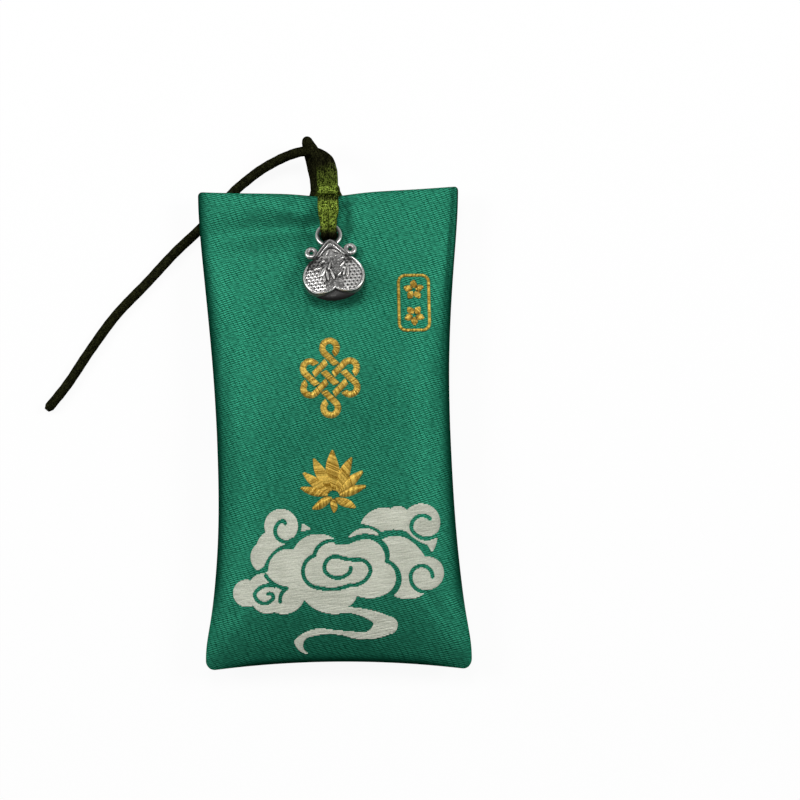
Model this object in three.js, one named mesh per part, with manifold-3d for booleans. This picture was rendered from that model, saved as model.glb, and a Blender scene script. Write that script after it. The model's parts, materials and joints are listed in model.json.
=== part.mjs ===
// Amulet pouch: a small stuffed satin pouch lying on its back, closed by a cord that is hitched
// through a hole under the mouth, with a cast purse-shaped charm hung on the cord.
// X runs across the pouch, Y from base to mouth and Z out of the front; the table is z = 0.
import * as THREE from 'three';
import { mergeVertices } from 'three/addons/utils/BufferGeometryUtils.js';
import Module from 'manifold-3d';

const wasm = await Module();
wasm.setup();

// Driving dimensions in millimetres
const POUCH_WIDTH = 60; // corner to corner across
const POUCH_LENGTH = 110; // corner to corner from base to mouth
const SIDE_PULL = 3.1; // how far the filling draws each side in at the waist
const SIDE_PULL_RUN = 24; // length from a corner in which that pull builds up
const SIDE_PULL_EASE = 1.9; // how sharply it builds up
const BASE_PULL = 2; // draw-in of the base edge at its middle
const MOUTH_PULL = 1.2; // draw-in of the mouth edge at its middle
const MOUTH_DIP_SHARE = 0.7; // share of it that stays close to the hitch
const MOUTH_DIP_HALF_WIDTH = 7;
const EDGE_PULL_EASE = 6; // how near the base and mouth that draw-in stays
const SIDE_SWELL = [3, 0.62]; // flatness of the top and roundness of the edge, towards the sides
const BASE_SWELL = [4, 0.7]; // the same towards the base
const MOUTH_SWELL = [2.2, 1.1]; // and towards the mouth, which is held shut
const SEAM_HEIGHT = 6.2; // height of the side seams above the table
const CROWN = 9; // rise of the front above the seams
const BACK_DEPTH = 8; // depth of the back below the seams before the table flattens it
const FABRIC = 0.6; // satin panel with its turned edges
const SEAM_GAP = 0.3; // sewing clearance between the two panels
const BACKING = 0.3; // embroidery backing behind each panel
const LAYER_GAP = 0.3; // clearance between the layers inside
const SEAM_ALLOWANCE = 2; // width along the seams that the backing leaves free
const STUFFING_INSET = 1; // further inset of the wadding
const MOUTH_CLEAR = 18; // length below the mouth that holds no backing or wadding

const SLIP_WIDTH = 28; // folded paper slip
const SLIP_LENGTH = 54;
const SLIP_LEAF = 0.3;
const SLIP_FOLD_GAP = 0.15;
const SLIP_Y = -4; // middle of the slip

const HOLE_DIAMETER = 5; // eyelet hole for the two strands of the hitch
const FRONT_HOLE_DROP = 9.2; // hole centre below the mouth edge, front panel
const BACK_HOLE_DROP = 10.5; // the strands slant down to the back panel's hole
const DIMPLE_DEPTH = 0.55; // share of the fullness that the hitch squeezes out
const DIMPLE_HALF_WIDTH = 11;
const DIMPLE_HALF_LENGTH = 12;
const DIMPLE_DROP = 6.8; // middle of the dimple below the mouth edge

const CORD_DIAMETER = 2.4;
const CORD_SIDES = 8;

const RING_BORE = 4.35; // charm ring
const RING_WIRE = 0.95;
const RING_SEAT = 0.3; // clearance of the ring over the fabric
const RING_PLAY = 0.3; // clearance of the ring in the charm's eye
const RING_DROP = 6.8; // top of the ring below the mouth edge
const CHARM_TILT = 27; // degrees that the charm leans on the swelling front
const CHARM_TURN = 5.5; // degrees that it hangs askew

const CHARM_WIDTH = 14.4; // cast charm
const BELLY_HEIGHT = 12.2;
const BELLY_DEPTH = 5;
const BELLY_DROP = 11; // widest line of the belly below the ring's middle
const FACE_DEPTH = 2.1; // front of the raised rim before the ring's plane
const FACE_STEP = 0.15; // face inside the belly's outline
const LOWER_STEP = 1.1; // the same below, where the belly shows under the face
const FACE_RIM = 0.85;
const FACE_RECESS = 0.5;
const LOBE_NOTCH = 1.7; // depth of the notch between the two lower lobes
const COLLAR_TOP_WIDTH = 2.2;
const COLLAR_BASE_WIDTH = 9.4;
const COLLAR_RISE = 9; // peak of the collar above the widest line
const COLLAR_BASE_RISE = 4.4;
const COLLAR_DEPTH = 2.6;
const COLLAR_EDGE = 0.9; // half height of the collar's upright edge
const RIDGE_WIDTH = 0.9;
const RIDGE_PITCH = 1.5;
const RIDGE_HEIGHT = 0.5;
const EAR_OUTER = 2.9; // side loops
const EAR_WIRE = 0.95;
const EAR_RISE = 7.3; // above the widest line
const EAR_SPREAD = 9.2; // between the loops' middles
const PETALS = 5; // relief blossom on the face
const PETAL_LENGTH = 5;
const PETAL_WIDTH = 1.15;
const PETAL_SPREAD = 25; // degrees from one petal to the next
const PETAL_HEIGHT = 0.45; // relief above the field
const PETAL_ROOT = 0.3; // depth that the relief is let into the field
const FAN_Y = -3.1; // foot of the fan from the widest line

// Derived values
const MOUTH_Y = POUCH_LENGTH / 2 - MOUTH_PULL;
const SEAM_FRONT = SEAM_HEIGHT + SEAM_GAP / 2;
const SEAM_BACK = SEAM_HEIGHT - SEAM_GAP / 2;
const BACK_LIMIT = SEAM_BACK - FABRIC;
const RING_RADIUS = (RING_BORE + RING_WIRE) / 2;

const satin = new THREE.MeshStandardMaterial({ color: 0x1f7458, roughness: 0.45, metalness: 0 });
const backingCloth = new THREE.MeshStandardMaterial({ color: 0xe6e2d6, roughness: 0.95, metalness: 0 });
const wadding = new THREE.MeshStandardMaterial({ color: 0xf3f1ea, roughness: 1, metalness: 0 });
const paper = new THREE.MeshStandardMaterial({ color: 0xe2b64a, roughness: 0.9, metalness: 0 });
const cordSatin = new THREE.MeshStandardMaterial({ color: 0x55671f, roughness: 0.5, metalness: 0 });
const antiqueSilver = new THREE.MeshStandardMaterial({ color: 0xb9b7b0, roughness: 0.35, metalness: 1 });

const pouch = new THREE.Group();

// Places a mesh under its name; each sub-part has a material of its own
function addMesh(parent, name, geometry, material) {
  const mesh = new THREE.Mesh(geometry, material.clone());
  mesh.name = name;
  parent.add(mesh);
  return mesh;
}

// Boolean joins and cuts
function toSolid(geometry) {
  const bare = geometry.index ? geometry.toNonIndexed() : geometry.clone();
  bare.deleteAttribute('normal');
  bare.deleteAttribute('uv');
  const merged = mergeVertices(bare, 1e-4);
  return new wasm.Manifold(new wasm.Mesh({
    numProp: 3,
    vertProperties: new Float32Array(merged.attributes.position.array),
    triVerts: new Uint32Array(merged.index.array),
  }));
}

function toGeometry(solid) {
  const mesh = solid.getMesh();
  const geometry = new THREE.BufferGeometry();
  geometry.setAttribute('position', new THREE.BufferAttribute(new Float32Array(mesh.vertProperties), 3));
  geometry.setIndex(new THREE.BufferAttribute(new Uint32Array(mesh.triVerts), 1));
  geometry.computeVertexNormals();
  return geometry;
}

// Pouch form. s runs from side to side and t from base to mouth, both from -1 to 1.
function halfWidth(t) {
  const fromCorner = (1 - Math.abs(t)) * POUCH_LENGTH / 2;
  const built = 1 - Math.exp(-((fromCorner / SIDE_PULL_RUN) ** SIDE_PULL_EASE));
  return POUCH_WIDTH / 2 - SIDE_PULL * built;
}

function planPoint(s, t) {
  const x = s * halfWidth(t);
  const bow = 1 - s * s;
  const dip = Math.exp(-((x / MOUTH_DIP_HALF_WIDTH) ** 2));
  const mouthDraw = -MOUTH_PULL * (bow + MOUTH_DIP_SHARE * (dip - bow));
  const draw = t > 0 ? mouthDraw : BASE_PULL * bow;
  return [x, t * POUCH_LENGTH / 2 + draw * Math.abs(t) ** EDGE_PULL_EASE];
}

// Share of the full height at a share of the way from the middle to an edge
const swell = (share, [flatness, roundness]) => (1 - share ** flatness) ** roundness;

function fullness(s, t) {
  const [x, y] = planPoint(s, t);
  const across = swell(Math.abs(s), SIDE_SWELL);
  const along = swell(Math.abs(t), t > 0 ? MOUTH_SWELL : BASE_SWELL);
  const u = x / DIMPLE_HALF_WIDTH;
  const v = (y - MOUTH_Y + DIMPLE_DROP) / DIMPLE_HALF_LENGTH;
  return across * along * (1 - DIMPLE_DEPTH * Math.exp(-u * u - v * v));
}

const frontInside = (s, t) => SEAM_FRONT + CROWN * fullness(s, t);
const frontOutside = (s, t) => frontInside(s, t) + FABRIC;
const backInside = (s, t) => SEAM_BACK - Math.min(BACK_DEPTH * fullness(s, t), BACK_LIMIT);
const backOutside = (s, t) => backInside(s, t) - FABRIC;

// Even steps in the middle, finer towards both ends
function easedSteps(from, to, count) {
  return Array.from({ length: count + 1 }, (_, i) => {
    const even = i / count;
    const eased = (1 - Math.cos(Math.PI * even)) / 2;
    return from + (to - from) * (0.4 * even + 0.6 * eased);
  });
}

// Closed layer between two heights over the pouch's plan
function layer(upper, lower, sSteps, tSteps) {
  const columns = sSteps.length;
  const rows = tSteps.length;
  const position = [];
  for (const height of [upper, lower]) {
    for (const t of tSteps) {
      for (const s of sSteps) {
        position.push(...planPoint(s, t), height(s, t));
      }
    }
  }
  const index = [];
  const top = (i, j) => j * columns + i;
  const bottom = (i, j) => rows * columns + top(i, j);
  for (let j = 0; j < rows - 1; j += 1) {
    for (let i = 0; i < columns - 1; i += 1) {
      index.push(top(i, j), top(i + 1, j), top(i + 1, j + 1), top(i, j), top(i + 1, j + 1), top(i, j + 1));
      index.push(bottom(i, j), bottom(i + 1, j + 1), bottom(i + 1, j));
      index.push(bottom(i, j), bottom(i, j + 1), bottom(i + 1, j + 1));
    }
  }
  const wall = (a, b, c, d) => index.push(a, b, c, a, c, d);
  for (let i = 0; i < columns - 1; i += 1) {
    wall(bottom(i, 0), bottom(i + 1, 0), top(i + 1, 0), top(i, 0));
    wall(bottom(i + 1, rows - 1), bottom(i, rows - 1), top(i, rows - 1), top(i + 1, rows - 1));
  }
  for (let j = 0; j < rows - 1; j += 1) {
    wall(bottom(0, j + 1), bottom(0, j), top(0, j), top(0, j + 1));
    wall(bottom(columns - 1, j), bottom(columns - 1, j + 1), top(columns - 1, j + 1), top(columns - 1, j));
  }
  const geometry = new THREE.BufferGeometry();
  geometry.setAttribute('position', new THREE.Float32BufferAttribute(position, 3));
  geometry.setIndex(index);
  return geometry;
}

// Satin panels, each pierced for the hitch
function pierced(geometry, drop) {
  const punch = new THREE.CylinderGeometry(HOLE_DIAMETER / 2, HOLE_DIAMETER / 2, 4 * SEAM_HEIGHT, 20);
  punch.rotateX(Math.PI / 2);
  punch.translate(0, MOUTH_Y - drop, SEAM_HEIGHT);
  return toGeometry(toSolid(geometry).subtract(toSolid(punch)));
}

const panelAcross = easedSteps(-1, 1, 18);
const panelAlong = easedSteps(-1, 1, 30);
const frontPanel = layer(frontOutside, frontInside, panelAcross, panelAlong);
const backPanel = layer(backInside, backOutside, panelAcross, panelAlong);
addMesh(pouch, 'front_panel', pierced(frontPanel, FRONT_HOLE_DROP), satin);
addMesh(pouch, 'back_panel', pierced(backPanel, BACK_HOLE_DROP), satin);

// Embroidery backing inside each panel, and the wadding between them
const sideLimit = (inset) => 1 - inset / (POUCH_WIDTH / 2);
const baseLimit = (inset) => -1 + (inset + BASE_PULL) / (POUCH_LENGTH / 2);
const mouthLimit = (inset) => 1 - (MOUTH_CLEAR + inset) / (POUCH_LENGTH / 2);

function layerSteps(inset) {
  const side = sideLimit(inset);
  return [easedSteps(-side, side, 10), easedSteps(baseLimit(inset), mouthLimit(inset), 16)];
}

const frontBackingUpper = (s, t) => frontInside(s, t) - LAYER_GAP;
const frontBackingLower = (s, t) => frontBackingUpper(s, t) - BACKING;
const backBackingLower = (s, t) => backInside(s, t) + LAYER_GAP;
const backBackingUpper = (s, t) => backBackingLower(s, t) + BACKING;
const backingSteps = layerSteps(SEAM_ALLOWANCE);
addMesh(pouch, 'front_backing', layer(frontBackingUpper, frontBackingLower, ...backingSteps), backingCloth);
addMesh(pouch, 'back_backing', layer(backBackingUpper, backBackingLower, ...backingSteps), backingCloth);

const slipBottom = FABRIC + LAYER_GAP + BACKING + LAYER_GAP;
const slipTop = slipBottom + 3 * SLIP_LEAF + 2 * SLIP_FOLD_GAP;
const waddingUpper = (s, t) => frontBackingLower(s, t) - LAYER_GAP;
const waddingLower = (s, t) => Math.max(backBackingUpper(s, t) + LAYER_GAP, slipTop + LAYER_GAP);
const waddingSteps = layerSteps(SEAM_ALLOWANCE + STUFFING_INSET);
addMesh(pouch, 'wadding_pad', layer(waddingUpper, waddingLower, ...waddingSteps), wadding);

// Paper slip folded in three, seen end-on as one strip that turns back twice
function foldedSlip() {
  const right = SLIP_WIDTH / 2;
  const left = -right;
  const step = SLIP_LEAF + SLIP_FOLD_GAP;
  const outline = new THREE.Shape();
  outline.moveTo(left, 0);
  outline.lineTo(right, 0);
  outline.lineTo(right, step + SLIP_LEAF);
  outline.lineTo(left + SLIP_LEAF, step + SLIP_LEAF);
  outline.lineTo(left + SLIP_LEAF, 2 * step);
  outline.lineTo(right, 2 * step);
  outline.lineTo(right, 2 * step + SLIP_LEAF);
  outline.lineTo(left, 2 * step + SLIP_LEAF);
  outline.lineTo(left, step);
  outline.lineTo(right - SLIP_LEAF, step);
  outline.lineTo(right - SLIP_LEAF, SLIP_LEAF);
  outline.lineTo(left, SLIP_LEAF);
  outline.closePath();
  const geometry = new THREE.ExtrudeGeometry(outline, { depth: SLIP_LENGTH, bevelEnabled: false });
  geometry.rotateX(Math.PI / 2);
  geometry.translate(0, SLIP_LENGTH / 2, 0);
  return geometry;
}
const slip = addMesh(pouch, 'talisman_slip', foldedSlip(), paper);
slip.position.set(0, SLIP_Y, slipBottom);

// Cord. A route point is [x, y above the mouth edge, z above the table, share of the cord's width].
// Half of the cow hitch: from the tail over the front, through the ring and the hole, up the back
// as one leg of a V and over the mouth edge to the middle of the bight.
const HITCH_HALF = [
  [1.3, 4.2, 9.55, 0.95], [1.1, 2.9, 9.15, 0.8], [0.85, 1.4, 8.95, 0.62], [0.95, -0.1, 8.85, 0.75],
  [1.1, -2.2, 9.05, 0.88], [1.1, -4.2, 9.6, 0.82], [1.02, -5.4, 10.5, 0.75], [1, -6.5, 11, 0.75],
  [1, -7.7, 11.15, 0.75], [1, -8.7, 10.8, 0.75], [1, -9.15, 9.9, 0.75], [1.02, -9.25, 8.6, 0.75],
  [1.08, -9.6, 7, 0.8], [1.12, -10.2, 5.3, 0.8], [1.2, -10.3, 4, 0.8], [1.4, -9.6, 3.05, 0.8],
  [1.7, -8, 2.85, 0.84], [2.15, -5.6, 3, 0.88], [2.6, -2.8, 3.5, 0.84], [2.75, -0.4, 4.05, 0.74],
  [2.7, 1.3, 4.9, 0.66], [2.65, 1.85, 6.5, 0.62], [2.65, 1.85, 8.4, 0.62], [2.4, 1.6, 9.7, 0.62],
  [1.3, 1.45, 10.65, 0.64],
];
const BIGHT_MIDDLE = [0, 1.4, 10.85, 0.66];

// The right strand runs on as the long tail: through the short tail's turn and down to the table,
// then under the pouch's corner and out to its bare end
const LONG_TAIL = [
  [1.33, 4.8, 9.68], [1.15, 6.4, 9.75], [-0.2, 8.1, 9], [-2.6, 9.1, 7.7], [-5.8, 9.3, 6.1],
  [-9.2, 8.6, 4.5], [-12.6, 7.4, 3.15], [-15.8, 5.6, 2.15], [-18.8, 3.6, 1.55], [-21.8, 1.4, 1.3],
  [-25.3, -2, 1.25], [-29.8, -6.5, 1.25], [-35.9, -11.8, 1.25], [-42.7, -18.8, 1.25],
  [-50, -26.1, 1.25], [-56.4, -34.4, 1.25], [-61.8, -42.1, 1.25], [-66.6, -47.8, 1.25],
];
// The left strand rises, turns down on itself and lies tucked under the pouch
const SHORT_TAIL = [
  [-1.33, 4.8, 9.8], [-1.5, 6.2, 10.9], [-1.9, 8, 11.6], [-2.5, 10.2, 10.8], [-3.1, 11.7, 8.7],
  [-3.5, 11.95, 6.4], [-3.8, 10.9, 4.2], [-4, 8.9, 2.55], [-4.1, 6.4, 1.6], [-4.2, 3.8, 1.3],
  [-4.5, 1, 1.25], [-5.6, -2, 1.25], [-8.4, -5, 1.25], [-13, -7.2, 1.25], [-18, -9.2, 1.25],
  [-22.2, -12.4, 1.25], [-24.4, -17.2, 1.25], [-25.1, -22.8, 1.25],
];

// Closed tube along a route, with the cord's width eased where it is squeezed
function cordTube(route, stepsPerPoint) {
  const points = route.map(([x, y, z]) => new THREE.Vector3(x, MOUTH_Y + y, z));
  const curve = new THREE.CatmullRomCurve3(points, false, 'centripetal');
  const steps = (route.length - 1) * stepsPerPoint;
  const frames = curve.computeFrenetFrames(steps, false);
  const position = [];
  const index = [];
  for (let k = 0; k <= steps; k += 1) {
    const at = k / stepsPerPoint;
    const before = Math.min(Math.floor(at), route.length - 2);
    const width = THREE.MathUtils.lerp(route[before][3] ?? 1, route[before + 1][3] ?? 1, at - before);
    const centre = curve.getPoint(k / steps);
    for (let n = 0; n < CORD_SIDES; n += 1) {
      const angle = 2 * Math.PI * n / CORD_SIDES;
      const rim = centre.clone();
      rim.addScaledVector(frames.normals[k], Math.cos(angle) * width * CORD_DIAMETER / 2);
      rim.addScaledVector(frames.binormals[k], Math.sin(angle) * width * CORD_DIAMETER / 2);
      position.push(...rim.toArray());
    }
  }
  for (let k = 0; k < steps; k += 1) {
    for (let n = 0; n < CORD_SIDES; n += 1) {
      const a = k * CORD_SIDES + n;
      const b = k * CORD_SIDES + (n + 1) % CORD_SIDES;
      index.push(a, b, b + CORD_SIDES, a, b + CORD_SIDES, a + CORD_SIDES);
    }
  }
  for (let n = 1; n < CORD_SIDES - 1; n += 1) {
    const last = steps * CORD_SIDES;
    index.push(0, n + 1, n, last, last + n, last + n + 1);
  }
  const geometry = new THREE.BufferGeometry();
  geometry.setAttribute('position', new THREE.Float32BufferAttribute(position, 3));
  geometry.setIndex(index);
  return geometry;
}

const mirrored = HITCH_HALF.map(([x, ...rest]) => [-x, ...rest]);
const HITCH = [...HITCH_HALF, BIGHT_MIDDLE, ...mirrored.reverse()];
addMesh(pouch, 'cord_hitch', cordTube(HITCH, 2), cordSatin);
addMesh(pouch, 'long_tail', cordTube(LONG_TAIL, 2), cordSatin);
addMesh(pouch, 'short_tail', cordTube(SHORT_TAIL, 2), cordSatin);

// Charm: its group's origin is the middle of the ring's top wire, where it turns on the cord
const charm = new THREE.Group();
const tilt = THREE.MathUtils.degToRad(CHARM_TILT);
const turn = THREE.MathUtils.degToRad(CHARM_TURN);
const ringTopY = MOUTH_Y - RING_DROP;
const fabricUnderRing = frontOutside(0, ringTopY / (POUCH_LENGTH / 2));
charm.position.set(-RING_RADIUS * Math.sin(turn), ringTopY, fabricUnderRing + RING_SEAT + RING_WIRE / 2);
charm.rotation.set(-tilt, 0, turn);
pouch.add(charm);

function ringTorus(wire, tubeSides, arcSteps) {
  const torus = new THREE.TorusGeometry(RING_RADIUS, wire / 2, tubeSides, arcSteps);
  torus.translate(0, -RING_RADIUS, 0);
  return torus;
}
addMesh(charm, 'charm_ring', ringTorus(RING_WIRE, 8, 24), antiqueSilver);

// Cast charm, drawn from its widest line at y = 0
function faceOutline(inset) {
  const half = CHARM_WIDTH / 2 - FACE_STEP - inset;
  const shoulder = COLLAR_BASE_WIDTH / 2 - inset;
  const top = COLLAR_BASE_RISE + FACE_STEP - inset;
  const sag = top - LOBE_NOTCH / 2;
  const low = -BELLY_HEIGHT / 2 + LOWER_STEP + inset;
  const lobe = half * 0.52;
  const outline = new THREE.Shape();
  outline.moveTo(-shoulder, top);
  outline.bezierCurveTo(-half * 0.9, top * 0.84, -half, half * 0.4, -half, half * 0.05);
  outline.bezierCurveTo(-half, low * 0.45, -half * 0.8, low, -lobe, low);
  outline.bezierCurveTo(-lobe * 0.6, low, -lobe * 0.15, low + LOBE_NOTCH / 3, 0, low + LOBE_NOTCH);
  outline.bezierCurveTo(lobe * 0.15, low + LOBE_NOTCH / 3, lobe * 0.6, low, lobe, low);
  outline.bezierCurveTo(half * 0.8, low, half, low * 0.45, half, half * 0.05);
  outline.bezierCurveTo(half, half * 0.4, half * 0.9, top * 0.84, shoulder, top);
  outline.bezierCurveTo(shoulder / 2, sag, -shoulder / 2, sag, -shoulder, top);
  return outline;
}

function plate(outline, from, to) {
  const geometry = new THREE.ExtrudeGeometry(outline, { depth: to - from, bevelEnabled: false, curveSegments: 7 });
  geometry.translate(0, 0, from);
  return toSolid(geometry);
}

function belly() {
  const sphere = new THREE.SphereGeometry(1, 24, 14);
  sphere.scale(CHARM_WIDTH / 2, BELLY_HEIGHT / 2, BELLY_DEPTH / 2);
  return toSolid(sphere);
}

function collar() {
  const foot = COLLAR_BASE_RISE + COLLAR_EDGE;
  const outline = new THREE.Shape();
  outline.moveTo(-COLLAR_BASE_WIDTH / 2, COLLAR_BASE_RISE - COLLAR_EDGE);
  outline.lineTo(COLLAR_BASE_WIDTH / 2, COLLAR_BASE_RISE - COLLAR_EDGE);
  outline.lineTo(COLLAR_BASE_WIDTH / 2, foot);
  outline.lineTo(COLLAR_TOP_WIDTH / 2, COLLAR_RISE);
  outline.lineTo(-COLLAR_TOP_WIDTH / 2, COLLAR_RISE);
  outline.lineTo(-COLLAR_BASE_WIDTH / 2, foot);
  return plate(outline, -COLLAR_DEPTH / 2, COLLAR_DEPTH / 2);
}

// One sloping ridge on the collar; two of them meet in a peak on each level
function ridge(side, level) {
  const foot = COLLAR_BASE_WIDTH / 2;
  const peak = COLLAR_RISE - level * RIDGE_PITCH;
  const base = COLLAR_BASE_RISE + COLLAR_EDGE - level * RIDGE_PITCH * 0.6;
  const outline = new THREE.Shape();
  outline.moveTo(0, peak);
  outline.lineTo(0, peak - RIDGE_WIDTH * 1.3);
  outline.lineTo(side * foot, base - RIDGE_WIDTH);
  outline.lineTo(side * foot, base);
  return plate(outline, 0, COLLAR_DEPTH / 2 + RIDGE_HEIGHT);
}

function ear(side) {
  const torus = new THREE.TorusGeometry((EAR_OUTER - EAR_WIRE) / 2, EAR_WIRE / 2, 7, 16);
  torus.translate(side * EAR_SPREAD / 2, EAR_RISE, 0);
  return toSolid(torus);
}

// Pointed petal of the relief; a fan of them opens upwards from above the notch
function petal(angle, length) {
  const outline = new THREE.Shape();
  outline.moveTo(0, 0);
  outline.quadraticCurveTo(length * 0.6, PETAL_WIDTH, length, 0);
  outline.quadraticCurveTo(length * 0.6, -PETAL_WIDTH, 0, 0);
  const from = FACE_DEPTH - FACE_RECESS - PETAL_ROOT;
  const geometry = new THREE.ExtrudeGeometry(outline, {
    depth: PETAL_ROOT + PETAL_HEIGHT, bevelEnabled: false, curveSegments: 5,
  });
  geometry.rotateZ(THREE.MathUtils.degToRad(angle));
  geometry.translate(0, FAN_Y, from);
  return toSolid(geometry);
}

function charmCasting() {
  const field = plate(faceOutline(FACE_RIM), FACE_DEPTH - FACE_RECESS, FACE_DEPTH + 1);
  let casting = belly().add(plate(faceOutline(0), 0, FACE_DEPTH)).subtract(field).add(collar());
  for (const side of [-1, 1]) {
    casting = casting.add(ear(side)).add(ridge(side, 0)).add(ridge(side, 1));
  }
  for (let k = 0; k < PETALS; k += 1) {
    const fromUpright = (k - (PETALS - 1) / 2) * PETAL_SPREAD;
    casting = casting.add(petal(90 + fromUpright, PETAL_LENGTH));
  }
  const placed = toGeometry(casting);
  placed.translate(0, -RING_RADIUS - BELLY_DROP, 0);
  const eye = toSolid(ringTorus(RING_WIRE + 2 * RING_PLAY, 10, 28));
  return toGeometry(toSolid(placed).subtract(eye));
}
addMesh(charm, 'charm_casting', charmCasting(), antiqueSilver);

export default pouch;
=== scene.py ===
"""Looks of the amulet pouch: satin panels, embroidery, satin cord and a cast silver charm."""
import json
import math

import bmesh
import bpy
import numpy as np
from mathutils import Matrix, Vector


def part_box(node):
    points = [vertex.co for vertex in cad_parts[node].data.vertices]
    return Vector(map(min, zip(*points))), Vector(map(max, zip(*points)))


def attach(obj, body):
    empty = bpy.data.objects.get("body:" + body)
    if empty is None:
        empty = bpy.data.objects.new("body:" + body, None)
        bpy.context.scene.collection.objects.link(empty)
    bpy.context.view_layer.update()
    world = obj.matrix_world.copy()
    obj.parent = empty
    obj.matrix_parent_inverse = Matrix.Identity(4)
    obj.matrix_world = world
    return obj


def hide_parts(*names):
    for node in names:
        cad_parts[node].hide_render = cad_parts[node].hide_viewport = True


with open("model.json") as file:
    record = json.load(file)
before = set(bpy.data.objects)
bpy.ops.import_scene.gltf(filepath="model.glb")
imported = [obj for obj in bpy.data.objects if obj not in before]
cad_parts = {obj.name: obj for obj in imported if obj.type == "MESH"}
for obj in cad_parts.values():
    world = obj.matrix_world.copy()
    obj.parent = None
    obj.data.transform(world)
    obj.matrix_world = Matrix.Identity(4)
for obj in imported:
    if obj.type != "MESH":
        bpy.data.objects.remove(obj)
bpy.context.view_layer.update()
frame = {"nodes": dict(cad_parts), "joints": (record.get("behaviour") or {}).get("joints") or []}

# Lengths below are in millimetres unless a name says otherwise
MM = 0.001
TAU = 2 * math.pi

# Sizes of the sewn and filled pouch
PANEL_LOW, PANEL_HIGH = (np.array(corner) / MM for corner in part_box("front_panel"))
POUCH_WIDTH = PANEL_HIGH[0] - PANEL_LOW[0]
POUCH_LENGTH = PANEL_HIGH[1] - PANEL_LOW[1]
SIDE_PULL, SIDE_PULL_RUN, SIDE_PULL_EASE = 3.1, 24, 1.9
BASE_PULL, MOUTH_PULL, EDGE_PULL_EASE = 2, 1.2, 6
MOUTH_DIP_SHARE, MOUTH_DIP_HALF_WIDTH = 0.7, 7
SIDE_SWELL, BASE_SWELL, MOUTH_SWELL = (3, 0.62), (4, 0.7), (2.2, 1.1)
SEAM_HEIGHT, SEAM_GAP, CROWN, BACK_DEPTH, FABRIC = 6.2, 0.3, 9, 8, 0.6
BACKING, LAYER_GAP = 0.3, 0.3
DIMPLE_DEPTH, DIMPLE_HALF_WIDTH, DIMPLE_HALF_LENGTH, DIMPLE_DROP = 0.55, 11, 12, 6.8
MOUTH_Y = POUCH_LENGTH / 2 - MOUTH_PULL
FRONT_HOLE_DROP, BACK_HOLE_DROP = 9.2, 10.5
HOLE_HALF_WIDTH, HOLE_HALF_LENGTH = 2, 1.1  # the cord fills the hole and draws it flat
SEAM_FRONT = SEAM_HEIGHT + SEAM_GAP / 2
SEAM_BACK = SEAM_HEIGHT - SEAM_GAP / 2
BACK_CLEAR = 0.35  # room under the back panel for its embroidery
EDGE_ROLL = 0.9  # width of the turned edge along the seams
MOUTH_CORNER, BASE_CORNER = 1, 2.3  # radii of the corners at both ends
BASE_FLARE, BASE_FLARE_AT, BASE_FLARE_RUN = 0.75, -0.93, 0.13  # extra width at the base corners, and where
SIDE_SWAY = 0.32  # how far the sides sway off the straight, to the left above and to the right below
BASE_LEAN = 0.5  # how much lower the base hangs at its right end
BASE_SLACK = 0.55  # how much lower than drawn the base lies
MOUTH_LIFT = 0.5  # how much higher than drawn the corners of the mouth lie
END_EASE = 4  # power with which these changes at the ends die out towards the middle
UPPER_SLACK, UPPER_SLACK_AT, UPPER_SLACK_RUN = 0.35, 0.5, 0.3  # extra width of the upper half, and where
CORNER_FILL, CORNER_FILL_EASE = 5, 4  # how much fuller than its middle the base's corners are
PAINTED_EDGE_SHADE_WIDTH = 1.6  # width of the painted shade that darkens the satin along the seams, where its edges fall away from the light
BASE_SHADE, BASE_SHADE_RUN, BASE_SHADE_SPREAD = 0.36, 9, 0.6  # painted shade over the middle of the base as well, where it slopes away from the light
FREE_CORNER, FREE_CORNER_FROM, FREE_CORNER_RUN = 0.9, 0.6, (0.6, 0.85)  # how far the base corners are spared from that painted shade, so that they stay lighter
SEAM_STRIP, SEAM_STRIP_INSET, SEAM_STRIP_HALF_WIDTH = 0.6, 0.6, 0.3  # strip along the upper right seam that is spared from the painted shade, so that it stays lighter
SEAM_STRIP_ENDS = 0.55, 0.75  # shares of the length between which the strip fades in

# Satin panels as meshes
PANEL_ACROSS, PANEL_ALONG = 148, 264
EDGE_FINENESS = 0.4  # how much finer the grid is towards its edges
CLOTH_THICKNESS = 0.45

# Cord
CORD_DIAMETER = 2.4
CORD_SIDES = 20

# Camera over the flat lay
PHOTO_SIDE = 184.6  # width of the table that the square picture takes in, at seam height
CAMERA_HEIGHT = 700
CAMERA_X, CAMERA_Y = 15.5, 6.5
CAMERA_ROLL = -1.3  # degrees


# Node trees

def operator(operation, flipped=False):
    return lambda value, other: value.math(operation, other, flipped=flipped)


class Value:
    """A node's output that takes part in Python expressions."""

    def __init__(self, nodes, socket):
        self.nodes = nodes
        self.socket = socket

    def output(self, name):
        """Another output of the same node."""
        return Value(self.nodes, self.socket.node.outputs[name])

    def math(self, operation, *others, flipped=False):
        terms = (*others, self) if flipped else (self, *others)
        return self.nodes.node("ShaderNodeMath", {"operation": operation}, dict(enumerate(terms)))

    __add__ = __radd__ = operator("ADD")
    __sub__, __rsub__ = operator("SUBTRACT"), operator("SUBTRACT", flipped=True)
    __mul__ = __rmul__ = operator("MULTIPLY")
    __truediv__, __pow__ = operator("DIVIDE"), operator("POWER")

    def floor(self):
        return self.math("FLOOR")

    def fract(self):
        return self.math("FRACT")

    def sine(self):
        return self.math("SINE")

    def clamped(self):
        return self.math("MAXIMUM", 0.0).math("MINIMUM", 1.0)

    def swing(self, amount):
        """Swings around 0 with a noise, which itself swings around a half."""
        return (self - 0.5) * amount


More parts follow.
